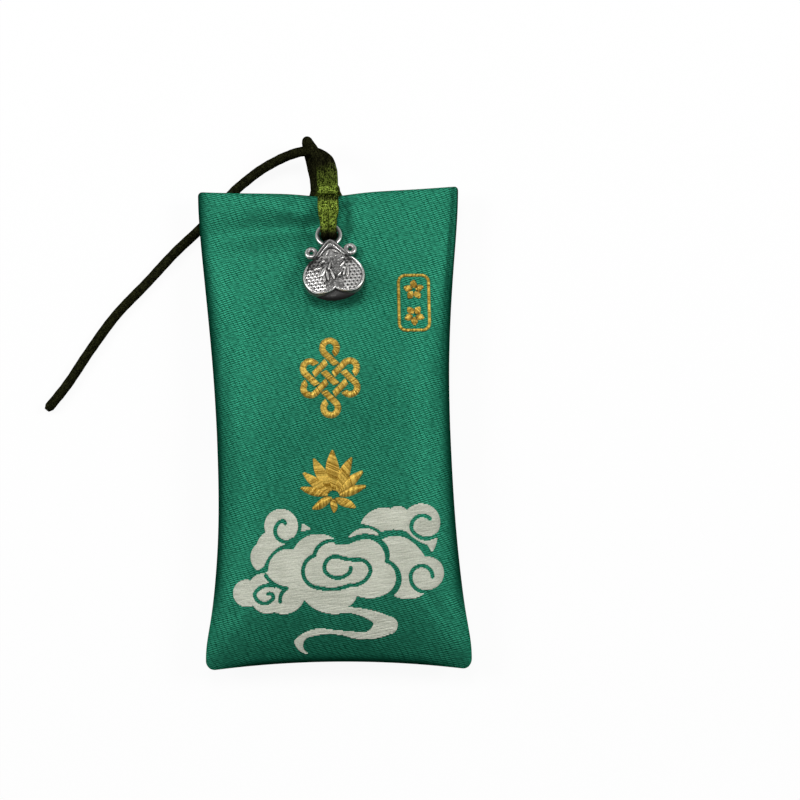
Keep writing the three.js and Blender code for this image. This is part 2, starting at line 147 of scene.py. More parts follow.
class Nodes:
    """A node tree, built from expressions."""

    def __init__(self, tree):
        self.tree = tree

    def feed(self, socket, value):
        if isinstance(value, Value):
            self.tree.links.new(value.socket, socket)
        elif isinstance(value, tuple) and socket.type == "RGBA":
            socket.default_value = (*value, 1)
        else:
            socket.default_value = value

    def node(self, kind, settings, sockets, out=0):
        made = self.tree.nodes.new(kind)
        for name, setting in settings.items():
            setattr(made, name, setting)
        for name, value in sockets.items():
            self.feed(made.inputs[name], value)
        return Value(self, made.outputs[out])


class Shading(Nodes):
    """The shader of a material or of the world."""

    def __init__(self, owner):
        owner.use_nodes = True
        super().__init__(owner.node_tree)
        self.tree.nodes.clear()

    def blend(self, share, first, second):
        return self.node("ShaderNodeMix", {"data_type": "RGBA"}, {0: share, 6: first, 7: second}, out=2)

    def place(self):
        return self.node("ShaderNodeTexCoord", {}, {}, out="Object")

    def stretched(self, vector, scale):
        return self.node("ShaderNodeMapping", {}, {"Vector": vector, "Scale": scale})

    def noise(self, vector, scale, detail=2.0, roughness=0.5):
        sockets = {"Vector": vector, "Scale": scale, "Detail": detail, "Roughness": roughness}
        return self.node("ShaderNodeTexNoise", {}, sockets)

    def attribute(self, name):
        return self.node("ShaderNodeAttribute", {"attribute_name": name}, {}, out="Fac")

    def cloth_millimetres(self, uv_map):
        flat = self.node("ShaderNodeUVMap", {"uv_map": uv_map}, {})
        u = self.node("ShaderNodeSeparateXYZ", {}, {0: flat})
        return flat, u * (1 / MM), u.output("Y") * (1 / MM)

    def bump(self, height, depth, strength=1.0):
        return self.node("ShaderNodeBump", {}, {"Strength": strength, "Distance": depth, "Height": height})

    def seen_directly(self):
        """1 for rays that show the background itself, from the eye or in a mirror."""
        ways = ("Is Camera Ray", "Is Glossy Ray", "Is Transmission Ray")
        return sum(self.node("ShaderNodeLightPath", {}, {}, out=way) for way in ways).clamped()


class Finish(Shading):
    """A material built around one Principled shader."""

    def __init__(self, name):
        self.material = bpy.data.materials.new(name)
        super().__init__(self.material)
        self.shader = self.tree.nodes.new("ShaderNodeBsdfPrincipled")
        self.output = self.tree.nodes.new("ShaderNodeOutputMaterial")
        self.tree.links.new(self.shader.outputs[0], self.output.inputs["Surface"])

    def surface(self, sockets):
        for name, value in sockets.items():
            self.feed(self.shader.inputs[name], value)
        return self.material


# Finishes. Colours are linear, noise scales are in cells a metre, and depths of bumps in metres.

ROW_PITCH = 0.5  # weft rows of the satin
ROW_SLANT = 0.28  # rise of the rows to the right
FLOAT_PITCH = 1.05  # length of one float and its tie
FLOAT_STEP = 0.2  # share of that length by which each row is set off
ROW_WANDER, FLOAT_WANDER = 0.9, 0.8  # how far rows and floats stray, in shares of their pitch
FLOAT_ROUND, TIE_SHARP, TIE_DEPTH = 0.8, 1.6, 0.4  # form of a float across its row, and of the tie at its ends
TENSION_GAIN, TENSION_FROM = 3.2, 1.1  # how sharply tight cloth is set off from slack
SATIN_LEVEL, WEAVE_LEVEL = 0.45, 0.6  # share of the bright colour, and the weave's height that shows it
WEAVE_SLACK, WEAVE_TIGHT = 0.35, 1.4  # contrast of the weave in slack cloth, and how much more in tight
SATIN_GLOSS, SATIN_SHADE_MATT = 0.5, 0.4  # share of the light thrown back in the satin's colour; less at the seams and the base, where the painted shade also dulls it
# The third satin colour is the painted shade's, along the seams and the base
SATIN_DARK, SATIN_BRIGHT, SATIN_SHADED = (0.001, 0.046, 0.024), (0.041, 0.342, 0.207), (0.001, 0.03, 0.016)
# Cord, with a dark and a bright colour mixed by painted glints, once unshaded and once under painted shade
CORD_UNSHADED = (0.006, 0.012, 0.0008), (0.27, 0.375, 0.055)
CORD_SHADED = (0.0042, 0.0042, 0.002), (0.02, 0.0215, 0.0075)
STRAND_GLINT, CRIMP_GLINT, GLINT_FROM, GLINT_GAIN = 1.1, 0.5, 0.75, 6.5
CORD_GLOSS, CORD_SHADE_MATT = 0.4, 0.3
TARNISH, SILVER = (0.016, 0.0155, 0.015), (0.86, 0.85, 0.83)
WORN_GAIN, WORN_FROM = 1.2, 0.08
PAPER = (0.62, 0.33, 0.04), (0.84, 0.58, 0.13)


def satin_finish():
    finish = Finish("emerald_satin")
    flat, u, v = finish.cloth_millimetres("cloth")
    wander = finish.noise(flat, scale=300.0) - 0.5
    rows = (v - u * ROW_SLANT) / ROW_PITCH + wander * ROW_WANDER
    thread = (rows.fract() * math.pi).sine()
    tie = (u / FLOAT_PITCH + rows.floor() * FLOAT_STEP + wander * FLOAT_WANDER).fract()
    free = ((tie * math.pi).sine() * TIE_SHARP).clamped()
    weave = thread ** FLOAT_ROUND * (free * TIE_DEPTH + (1 - TIE_DEPTH))
    tension = (finish.noise(flat, scale=260.0) * TENSION_GAIN - TENSION_FROM).clamped()
    uneven = finish.noise(finish.stretched(flat, (0.5, 1.4, 1)), scale=1700.0, detail=3.0, roughness=0.6)
    cloudy = finish.noise(flat, scale=55.0)
    woven = SATIN_LEVEL + (weave - WEAVE_LEVEL) * (tension * WEAVE_TIGHT + WEAVE_SLACK)
    share = (woven + uneven.swing(1.3) + cloudy.swing(0.25)).clamped()
    # painted shade along the seams and the base: a darker colour and less gloss
    turned = finish.attribute("painted_satin_shade")
    return finish.surface({
        "Base Color": finish.blend(turned, finish.blend(share, SATIN_DARK, SATIN_BRIGHT), SATIN_SHADED),
        "Roughness": 0.6 - weave * 0.06,
        "Metallic": SATIN_GLOSS - turned * SATIN_SHADE_MATT,
        "Normal": finish.bump(weave * tension + uneven * 0.3, depth=0.0001, strength=0.5),
        "Specular IOR Level": 0.0,
        "Specular Tint": (0.1, 0.5, 0.35),
    })


def thread_finish(name, dark, bright, streaks, roughness, gloss, tint=(1.0, 1.0, 1.0), metal=0.0):
    finish = Finish(name)
    tone = finish.attribute("thread_tone")
    fibres = finish.noise(finish.place(), scale=5200.0, detail=3.0)
    soil = finish.noise(finish.place(), scale=150.0)
    share = (tone.swing(streaks) + fibres.swing(1.6) + soil.swing(0.5) + 0.5).clamped()
    return finish.surface({
        "Base Color": finish.blend(share, dark, bright),
        "Roughness": roughness + fibres.swing(-0.2),
        "Normal": finish.bump(fibres, depth=0.00006, strength=0.6),
        "Specular IOR Level": gloss,
        "Specular Tint": tint,
        "Metallic": metal,
    })


def cord_finish():
    finish = Finish("olive_satin_cord")
    flat = finish.cloth_millimetres("cord")[0]
    drawn_out = finish.stretched(flat, (1.0, 0.6, 1))
    strands = finish.noise(drawn_out, scale=4300.0)
    crimps = finish.noise(drawn_out, scale=1200.0)
    glints = ((strands * STRAND_GLINT + crimps * CRIMP_GLINT - GLINT_FROM) * GLINT_GAIN).clamped()
    # painted shade: the cord darkens above the mouth, in the hole and under the bight
    painted_shade = finish.attribute("cord_painted_shade")
    return finish.surface({
        "Base Color": finish.blend(painted_shade, finish.blend(glints, *CORD_UNSHADED), finish.blend(glints, *CORD_SHADED)),
        "Roughness": 0.6 - glints * 0.2,
        "Normal": finish.bump(strands + crimps, depth=0.0002, strength=0.7),
        "Metallic": CORD_GLOSS - painted_shade * CORD_SHADE_MATT,
        "Specular IOR Level": 0.0,
        "Specular Tint": (0.25, 0.3, 0.08),
    })


def silver_finish():
    finish = Finish("antique_silver")
    # bare metal from rubbing, darker in places by painted shade on the upper field, the right field and the
    # upper rim
    worn_and_shaded = finish.attribute("worn_and_shaded")
    grain = finish.noise(finish.place(), scale=1600.0, detail=4.0)
    scuffs = finish.noise(finish.place(), scale=420.0, detail=3.0)
    bare = (worn_and_shaded * WORN_GAIN + grain.swing(0.4) + scuffs.swing(0.3) - WORN_FROM).clamped()
    return finish.surface({
        "Base Color": finish.blend(bare, TARNISH, SILVER),
        "Metallic": 0.6 + bare * 0.4,
        "Roughness": 0.42 - bare * 0.16 + scuffs.swing(0.12),
        "Normal": finish.bump(grain + scuffs, depth=0.00005, strength=0.2),
    })


def paper_finish():
    finish = Finish("talisman_paper")
    pulp = finish.noise(finish.place(), scale=900.0, detail=5.0, roughness=0.65)
    flecks = finish.noise(finish.stretched(finish.place(), (1, 0.3, 1)), scale=2600.0)
    return finish.surface({
        "Base Color": finish.blend((pulp * 0.7 + flecks * 0.3).clamped(), *PAPER),
        "Roughness": 0.82 + pulp.swing(0.2),
        "Normal": finish.bump(pulp, depth=0.00008, strength=0.5),
    })


def fibre_finish(name, dark, bright, grain_scale):
    finish = Finish(name)
    matted = finish.noise(finish.place(), grain_scale, detail=6.0, roughness=0.7)
    tangle = finish.noise(finish.stretched(finish.place(), (1, 4, 1)), grain_scale * 2.2, detail=3.0)
    return finish.surface({
        "Base Color": finish.blend((matted * 0.6 + tangle * 0.4).clamped(), dark, bright),
        "Roughness": 0.92 + matted.swing(0.1),
        "Normal": finish.bump(matted + tangle, depth=0.0003, strength=0.6),
        "Sheen Weight": 0.2,
    })


# Pouch form. s runs from side to side and t from base to mouth, both from -1 to 1.

def smoothstep(low, high, value):
    share = np.clip((value - low) / (high - low), 0, 1)
    return share * share * (3 - 2 * share)


def bell(value):
    return np.exp(-value ** 2)


def turned(x, y, angle):
    """Places along and across a direction, which is given in degrees."""
    turn = math.radians(angle)
    return x * math.cos(turn) + y * math.sin(turn), y * math.cos(turn) - x * math.sin(turn)


def ripple(x, y, across, along):
    """Irregular waves. Each way has its rate, then how far and at what rate the other way bends it."""
    (rate_x, bend_x, turn_x), (rate_y, bend_y, turn_y) = across, along
    return np.sin(rate_x * x + bend_x * np.sin(turn_x * y)) * np.sin(rate_y * y + bend_y * np.sin(turn_y * x))


def from_end(t):
    """Distance to the nearer of mouth and base."""
    return (1 - np.abs(t)) * POUCH_LENGTH / 2


def half_width(t):
    built = 1 - np.exp(-((from_end(t) / SIDE_PULL_RUN) ** SIDE_PULL_EASE))
    return POUCH_WIDTH / 2 - SIDE_PULL * built


def from_side(s, t):
    """Distance to the nearer side."""
    return (1 - np.abs(s)) * half_width(t)


def plan(s, t):
    x = s * half_width(t)
    bow = 1 - s * s
    dip = bell(x / MOUTH_DIP_HALF_WIDTH)
    draw = np.where(t > 0, -MOUTH_PULL * (bow + MOUTH_DIP_SHARE * (dip - bow)), BASE_PULL * bow)
    return x, t * POUCH_LENGTH / 2 + draw * np.abs(t) ** EDGE_PULL_EASE


def lie(s, t):
    """Plan of the pouch as it lies in the picture: a little askew, with round corners."""
    x, y = plan(s, t)
    corner = np.where(t > 0, MOUTH_CORNER, BASE_CORNER)
    to_side = np.clip(1 - from_side(s, t) / corner, 0, 1)
    to_end = np.clip(1 - from_end(t) / corner, 0, 1)
    x = x - np.sign(s) * corner * to_side * (1 - np.sqrt(1 - to_end ** 2 / 2))
    y = y - np.sign(t) * corner * to_end * (1 - np.sqrt(1 - to_side ** 2 / 2))
    x += s * UPPER_SLACK * bell((t - UPPER_SLACK_AT) / UPPER_SLACK_RUN)
    x += s * BASE_FLARE * bell((t - BASE_FLARE_AT) / BASE_FLARE_RUN) - SIDE_SWAY * np.sin(math.pi * t)
    lowering, lifting = np.clip(-t, 0, 1) ** END_EASE, np.clip(t, 0, 1) ** END_EASE
    return x, y - (BASE_LEAN * s + BASE_SLACK) * lowering + MOUTH_LIFT * s * s * lifting


def swell(share, form):
    flatness, roundness = form
    return np.maximum(1 - np.abs(share) ** flatness, 0) ** roundness


def fullness(s, t):
    x, y = plan(s, t)
    flatness, roundness = BASE_SWELL
    lower = swell(t, (flatness + CORNER_FILL * s ** CORNER_FILL_EASE, roundness))
    along = np.where(t > 0, swell(t, MOUTH_SWELL), lower)
    dimple = bell(x / DIMPLE_HALF_WIDTH) * bell((y - MOUTH_Y + DIMPLE_DROP) / DIMPLE_HALF_LENGTH)
    return swell(s, SIDE_SWELL) * along * (1 - DIMPLE_DEPTH * dimple)


def to_rim(s, t):
    """Distance to the nearest seam."""
    return np.minimum(from_side(s, t), from_end(t))


def turned_edge(s, t):
    """Share of the fabric's thickness left where the edge rolls over to the seam."""
    inwards = np.clip(to_rim(s, t) / EDGE_ROLL, 0, 1)
    return np.sqrt(1 - (1 - inwards) ** 2)


# Pinch under the hitch and the fabric it pushes up on both sides
PINCH_DEPTH, PINCH_HALF_WIDTH = 0.7, 4.2
SHOULDER_RISE, SHOULDER_OFF, SHOULDER_HALF_WIDTH, SHOULDER_HALF_LENGTH = 0.75, 8.2, 3.6, 8.5
# Folds that the hitch draws into the front: direction in degrees, reach, depth and half width
HITCH_FOLDS = (
    (186, 19, 1.35, 3.2), (160, 13, -0.7, 2.0), (38, 12, 1.0, 2.1), (4, 16, 0.5, 2.2),
    (222, 17, -0.5, 3.0), (-36, 17, -0.35, 3.0), (66, 8, -0.45, 1.7), (128, 9, -0.45, 1.9),
)
FOLD_START, FOLD_FULL = 1.5, 5.5  # distances from the hitch at which its folds begin and are full
# Loose folds elsewhere: middle x and y, direction in degrees, half length, depth and half width
LOOSE_FOLDS = (
    (-24, 14, 78, 16, 0.45, 1.8), (-23, 2, 96, 11, -0.3, 1.7), (24.5, 6, 84, 18, 0.35, 1.7),
    (-20, -36, 60, 9, 0.3, 1.6), (20.5, -38, 122, 9, 0.3, 1.6), (-14, 38, 22, 10, 0.3, 2.4),
    (16, 40, 150, 10, 0.35, 2.6), (3, -50, 4, 12, 0.25, 1.6), (-25, -16, 92, 9, 0.3, 1.4),
    (-16, 46, 4, 15, 1.3, 4), (-4.5, 22, -12, 7, 0.85, 4.5),
)
FOLD_FREE = 3  # folds die out within this distance of the seams
SEAM_LINE_DEPTH, SEAM_LINE_INSET, SEAM_LINE_HALF_WIDTH = 0.5, 1.3, 0.28  # stitched line, right side
SEAM_LINE_ENDS = -0.1, 0.3  # shares of the length between which that line fades in
SEAM_CLOSE = 0.08  # how far each panel reaches into the gap between them
REST_EASE = 0.25  # how softly the back flattens on the table


def valley(x, y, angle, half_length, depth, half_across):
    """Depth of a fold through the origin, and how far along it each place is."""
    along, across = turned(x, y, angle)
    return -depth * bell(across / half_across) * bell(along / half_length), along


def folds(x, y):
    """Height that folds add to the front."""
    from_hitch = y - MOUTH_Y + DIMPLE_DROP
    shoulders = SHOULDER_RISE * bell((np.abs(x) - SHOULDER_OFF) / SHOULDER_HALF_WIDTH)
    pinch = PINCH_DEPTH * bell(x / PINCH_HALF_WIDTH)
    height = (shoulders - pinch) * bell(from_hitch / SHOULDER_HALF_LENGTH)
    for fold in HITCH_FOLDS:
        dent, along = valley(x, from_hitch, *fold)
        height += dent * smoothstep(FOLD_START, FOLD_FULL, along)
    for middle_x, middle_y, *fold in LOOSE_FOLDS:
        height += valley(x - middle_x, y - middle_y, *fold)[0]
    return height


def front_height(s, t):
    from_seam = (1 - s) * half_width(t)
    groove = SEAM_LINE_DEPTH * bell((from_seam - SEAM_LINE_INSET) / SEAM_LINE_HALF_WIDTH)
    sewn = SEAM_FRONT - SEAM_CLOSE + FABRIC * turned_edge(s, t) - groove * smoothstep(*SEAM_LINE_ENDS, t)
    folded = folds(*plan(s, t)) * np.clip(to_rim(s, t) / FOLD_FREE, 0, 1)
    return sewn + CROWN * fullness(s, t) + folded


def back_height(s, t):
    drop = BACK_DEPTH * fullness(s, t) + FABRIC * turned_edge(s, t)
    flat = SEAM_BACK - BACK_CLEAR
    eased = flat - np.log1p(np.exp((flat - drop) / REST_EASE)) * REST_EASE
    return SEAM_BACK + SEAM_CLOSE - np.minimum(drop, np.maximum(eased, 0))


# Meshes

def add_object(name, data):
    made = bpy.data.objects.new(name, data)
    bpy.context.scene.collection.objects.link(made)
    return made


def add_piece(name, mesh, material, body, node=None):
    piece = add_object(name, mesh)
    mesh.materials.clear()
    mesh.materials.append(material)
    mesh.shade_smooth()
    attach(piece, body)
    if node:
        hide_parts(node)
    return piece


def grid_faces(columns, rows):
    corner = (np.arange(rows - 1)[:, None] * columns + np.arange(columns - 1)[None, :]).ravel()
    return np.stack([corner, corner + 1, corner + columns + 1, corner + columns], axis=1)


def ring_faces(rows, count, closed=False):
    """Faces between rings of points; closed joins the last ring to the first."""
    index = np.arange(rows * count).reshape(rows, count)
    if closed:
        index = np.vstack([index, index[:1]])
    following = np.roll(index, -1, axis=1)
    return np.stack([index[:-1], index[1:], following[1:], following[:-1]], axis=-1).reshape(-1, 4).tolist()


def two_sided(front, back):
    """Points and faces of a closed form between two grids of points."""
    rows, columns = front.shape[:2]
    count = rows * columns
    index = np.arange(count).reshape(rows, columns)
    rim = np.concatenate([index[0, :-1], index[:-1, -1], index[-1, :0:-1], index[:0:-1, 0]])
    following = np.roll(rim, -1)
    walls = np.stack([rim, rim + count, following + count, following], axis=1)
    faces = grid_faces(columns, rows)
    points = np.vstack([front.reshape(-1, 3), back.reshape(-1, 3)])
    return points, np.vstack([faces, faces[:, ::-1] + count, walls]).tolist()


def mesh_of(name, points, faces):
    mesh = bpy.data.meshes.new(name)
    mesh.from_pydata((np.asarray(points) * MM).tolist(), [], [tuple(map(int, face)) for face in faces])
    mesh.update()
    return mesh


def add_uv(mesh, name, flat):
    layer = mesh.uv_layers.new(name=name)
    corners = np.empty(len(mesh.loops), dtype=np.int32)
    mesh.loops.foreach_get("vertex_index", corners)
    layer.data.foreach_set("uv", (flat[corners] * MM).astype(np.float32).ravel())


def add_attribute(mesh, name, values):
    layer = mesh.attributes.new(name, "FLOAT", "POINT")
    layer.data.foreach_set("value", np.asarray(values, dtype=np.float32))


def welded(mesh, distance):
    shape = bmesh.new()
    shape.from_mesh(mesh)
    bmesh.ops.remove_doubles(shape, verts=shape.verts, dist=distance * MM)
    bmesh.ops.recalc_face_normals(shape, faces=shape.faces)
    shape.to_mesh(mesh)
    shape.free()
    return mesh


def cut_hole(mesh, x, y):
    """Opens the hitch's hole and rounds its edge."""
    shape = bmesh.new()
    shape.from_mesh(mesh)
    centre = Vector((x * MM, y * MM))
    reach = Vector((HOLE_HALF_WIDTH * MM, HOLE_HALF_LENGTH * MM))

    def share(place):
        off = place.xy - centre
        return Vector((off.x / reach.x, off.y / reach.y))

    inner = [f for f in shape.faces if share(f.calc_center_median()).length < 1]
    rim = {v for f in inner for v in f.verts}
    bmesh.ops.delete(shape, geom=inner, context="FACES")
    for vertex in rim:
        if vertex.is_valid:
            vertex.co.xy = centre + share(vertex.co).normalized() * reach
    shape.to_mesh(mesh)
    shape.free()


def baked(holder):
    """Mesh of an object with its modifiers applied; the object itself goes."""
    made = bpy.data.meshes.new_from_object(holder.evaluated_get(bpy.context.evaluated_depsgraph_get()))
    bpy.data.objects.remove(holder)
    return made


def thicken(mesh, thickness):
    """Gives a sheet its thickness, inwards, as a plain mesh."""
    holder = add_object("thicken", mesh)
    wall = holder.modifiers.new("wall", "SOLIDIFY")
    wall.thickness = thickness * MM
    wall.offset = -1
    return baked(holder)


# Camera and light, with places and sizes of lamps and floor in metres
SENSOR = 36  # width of the camera's sensor, in millimetres
LAMP_SIZE = 0.3
# Lamps: name, place and power
LAMPS = (
    ("left", (-0.52, 0.2, 0.46), 2.62),
    ("right", (0.52, 0.18, 0.46), 2.52),
    ("top", (-0.05, 0.42, 0.69), 2.1),
)
FLOOR_SIDE = 6.0
FLOOR_GLOW = 0.935  # share of the floor that stays white under the object's shadow
FLOOR_WHITE = 0.9
FLOOR_BOUNCE = 0.08  # dark for bounced light, so that the pouch's sides fall off
AMBIENT = 0.1
WALL_TOP, CEILING_EDGE = 0.1, 0.3  # sines of the heights at which the white walls end and the ceiling begins
CEILING = 0.05
WHITE = (1.0, 1.0, 1.0)


def aim_camera():
    data = bpy.data.cameras.new("camera")
    data.sensor_width = SENSOR
    data.lens = SENSOR * (CAMERA_HEIGHT - SEAM_HEIGHT) / PHOTO_SIDE
    camera = add_object("camera", data)
    camera.location = Vector((CAMERA_X, CAMERA_Y, CAMERA_HEIGHT)) * MM
    camera.rotation_euler = (0, 0, math.radians(CAMERA_ROLL))
    bpy.context.scene.camera = camera


def add_lamp(name, place, power):
    data = bpy.data.lights.new(name, "AREA")
    data.shape = "DISK"
    data.size = LAMP_SIZE
    data.energy = power
    lamp = add_object(name, data)
    lamp.location = place
    lamp.rotation_euler = (-Vector(place)).to_track_quat("-Z", "Y").to_euler()


def lay_floor():
    finish = Finish("white_table")
    seen = finish.seen_directly()
    top = finish.blend(seen, (FLOOR_BOUNCE,) * 3, (FLOOR_WHITE,) * 3)
    finish.surface({"Base Color": top, "Roughness": 0.9, "Specular IOR Level": 0.1})
    glow = finish.node("ShaderNodeEmission", {}, {"Color": WHITE, "Strength": 1.0})
    lit = Value(finish, finish.shader.outputs[0])
    both = finish.node("ShaderNodeMixShader", {}, {0: seen * FLOOR_GLOW, 1: lit, 2: glow})
    finish.tree.links.new(both.socket, finish.output.inputs["Surface"])
    half = FLOOR_SIDE / 2 / MM
    corners = [(-half, -half, 0), (half, -half, 0), (half, half, 0), (-half, half, 0)]
    mesh = mesh_of("table", corners, [range(len(corners))])
    mesh.materials.append(finish.material)
    add_object("table", mesh)


def light_world():
    """White walls around a dark ceiling; matt surfaces get an even, low light from them."""
    world = bpy.data.worlds.new("studio")
    bpy.context.scene.world = world
    studio = Shading(world)
    direction = studio.node("ShaderNodeTexCoord", {}, {}, out="Generated")
    up = studio.node("ShaderNodeSeparateXYZ", {}, {0: direction}, out="Z")
    walls = 1.0 - ((up - WALL_TOP) / (CEILING_EDGE - WALL_TOP)).clamped() * (1 - CEILING)
    strength = studio.seen_directly() * (walls - AMBIENT) + AMBIENT
    sky = studio.node("ShaderNodeBackground", {}, {"Color": WHITE, "Strength": strength})
    output = studio.tree.nodes.new("ShaderNodeOutputWorld")
    studio.tree.links.new(sky.socket, output.inputs["Surface"])


# Cord. A route is made of stretches, each with a section and its points: x, y above the mouth edge, and z.
# A section gives the cord's width along x, y and z as shares of its diameter.

def route(*stretches):
    return [(*point, section) for section, *points in stretches for point in points]


ROUND = (0.95, 0.95, 0.95)
STRAP = (1.06, 1, 0.62)
GATHERED = (0.84, 0.8, 0.8)
WRAPPED = (0.4, 0.92, 0.4)
BEHIND = (0.9, 0.9, 0.82)
HITCH_HALF = route(
    (STRAP, (1.13, 4.2, 10), (1.13, 2.9, 9.5), (1.13, 1.4, 8.95), (1.13, -0.1, 8.9), (1.12, -2.2, 9.1),
     (1.05, -4.2, 9.65)),
    (GATHERED, (0.96, -5.4, 10.5), (0.92, -6.5, 11), (0.88, -7.7, 11.15), (0.86, -8.7, 10.8),
     (0.84, -9.15, 9.9), (0.8, -9.25, 8.6), (0.78, -9.6, 7), (0.82, -10.2, 5.3), (1, -10.3, 4)),
    (BEHIND, (1.4, -9.6, 3.05), (1.7, -8, 2.85), (2.1, -5.6, 3), (2.45, -2.8, 3.5), (2.5, -0.6, 4.1)),
    (WRAPPED, (2.35, 0.9, 5.2), (2.3, 1.3, 6.8), (2.25, 1.35, 8.6), (1.9, 1.35, 9.95), (1.1, 1.35, 10.35)),
)
BIGHT_MIDDLE = (0, 1.35, 10.45, WRAPPED)
LONG_TAIL = route(
    (STRAP, (1.13, 4.0, 9.95), (0.98, 6, 10.2), (0.1, 8.3, 9.6)),
    (ROUND, (-1.6, 9.7, 8.5), (-3.6, 10.4, 7.2), (-5.9, 10.5, 6.2), (-9.2, 9.7, 4.9), (-12.6, 8.3, 3.6),
     (-15.8, 6.6, 2.6), (-18.8, 4.5, 1.9), (-21.8, 2.1, 1.5), (-25.3, -1.6, 1.3), (-29.8, -6.3, 1.25),
     (-35.9, -11.8, 1.25), (-42.7, -18.8, 1.25), (-50, -26.1, 1.25), (-56.4, -34.4, 1.25),
     (-61.8, -42.1, 1.25), (-66.6, -47.8, 1.25)),
)
SHORT_TAIL = route(
    (STRAP, (-1.13, 4.0, 9.95), (-1.28, 6.2, 10.6), (-2.1, 8.7, 11.3)),
    (ROUND, (-3.4, 11, 11), (-4.3, 12.4, 9.4), (-4.6, 12.7, 7.2), (-4.6, 11.9, 5.2), (-4.2, 9.6, 3.5),
     (-3.6, 6.6, 2.3), (-3.1, 3.6, 1.6), (-3.2, 1, 1.3), (-4.6, -2, 1.25), (-8, -5, 1.25), (-13, -7.2, 1.25),
     (-18, -9.2, 1.25), (-22.2, -12.4, 1.25), (-24.4, -17.2, 1.25), (-25.1, -22.8, 1.25)),
)
HITCH_STEPS, TAIL_STEPS = 6, 8  # rings of the cord from one route point to the next
END_ROUND, END_SHARE = 0.5, 0.55  # length over which a bare end narrows, and its last share of width
UNEVEN = ((0.018, 1.9, 0), (0.012, 4.3, 1))  # waves in the cord's width: height, rate and offset
CORD_WELD = 0.002
# Painted shade on the cord: it darkens above the mouth edge and along the tails, and below the edge it is a
# painted shadow where it enters the hole
CORD_SHADE_FROM, CORD_SHADE_RUN = 1.6, 5.8
HOLE_SHADE_FROM, HOLE_SHADE_RUN = 6.8, 1.6
# Painted shadow too just under the bight, and painted shade where the bight turns round the sides
BIGHT_SHADE, BIGHT_SHADE_DROP, BIGHT_SHADE_RUN = 0.8, 0.6, 0.6
WRAP_SHADE, WRAP_SHADE_FROM, WRAP_SHADE_FULL, WRAP_SHADE_EASE = 0.8, 1.6, 2.2, 0.5


def travelled_along(points):
    return np.concatenate([[0], np.cumsum(np.linalg.norm(np.diff(points, axis=0), axis=1))])


def mixed(low, high, at, first, second):
    return (high - at) / (high - low) * first + (at - low) / (high - low) * second


def smooth_route(stops, steps):
    """Centripetal curve through a route: points, and the cord's section at each."""
    knots = np.array([(x, MOUTH_Y + y, z, *section) for x, y, z, section in stops], dtype=float)
    ends = np.vstack([2 * knots[0] - knots[1], knots, 2 * knots[-1] - knots[-2]])
    drawn = []
    for four in zip(ends, ends[1:], ends[2:], ends[3:]):
        a, b, c, d = four
        t0, t1, t2, t3 = np.cumsum([0, *(np.linalg.norm((q - p)[:3]) ** 0.5 for p, q in zip(four, four[1:]))])
        at = np.linspace(t1, t2, steps, endpoint=False)[:, None]
        ab, bc, cd = mixed(t0, t1, at, a, b), mixed(t1, t2, at, b, c), mixed(t2, t3, at, c, d)
        drawn.append(mixed(t1, t2, at, mixed(t0, t2, at, ab, bc), mixed(t1, t3, at, bc, cd)))
    drawn.append(knots[-1:])
    curve = np.vstack(drawn)
    return curve[:, :3], curve[:, 3:]


def cord_mesh(name, points, sections, painted_shade, bare_end):
    """Closed tube, darkened at each point by the given painted shade; a bare end is rounded."""
    count = len(points)
    tangents = np.gradient(points, axis=0)
    tangents /= np.linalg.norm(tangents, axis=1)[:, None]
    normal = np.cross(tangents[0], (0, 0, 1))
    around = np.linspace(0, TAU, CORD_SIDES + 1)
    travelled = travelled_along(points)
    places = []
    for k in range(count):
        normal = normal - tangents[k] * np.dot(normal, tangents[k])
        normal /= np.linalg.norm(normal)
        side = np.cross(tangents[k], normal)
        to_end = travelled[-1] - travelled[k] if bare_end else CORD_DIAMETER
        rounding = math.sqrt(1 - (1 - min(to_end / END_ROUND, 1)) ** 2)
        uneven = 1 + sum(height * math.sin(travelled[k] * rate + off) for height, rate, off in UNEVEN)
        radius = CORD_DIAMETER / 2 * sections[k] * uneven * (END_SHARE + (1 - END_SHARE) * rounding)
        ring = np.cos(around)[:, None] * normal + np.sin(around)[:, None] * side
        places.append(points[k] + ring * radius)
    caps = np.array([0, (count - 1) * (CORD_SIDES + 1)])[:, None] + np.arange(CORD_SIDES)
    faces = [*grid_faces(CORD_SIDES + 1, count).tolist(), caps[0, ::-1], caps[1]]
    mesh = mesh_of(name, np.vstack(places), faces)
    flat = [np.tile(around * CORD_DIAMETER / 2, count), np.repeat(travelled, CORD_SIDES + 1)]
    add_uv(mesh, "cord", np.stack(flat, axis=1))
    add_attribute(mesh, "cord_painted_shade", np.repeat(painted_shade, CORD_SIDES + 1))
    return welded(mesh, CORD_WELD)


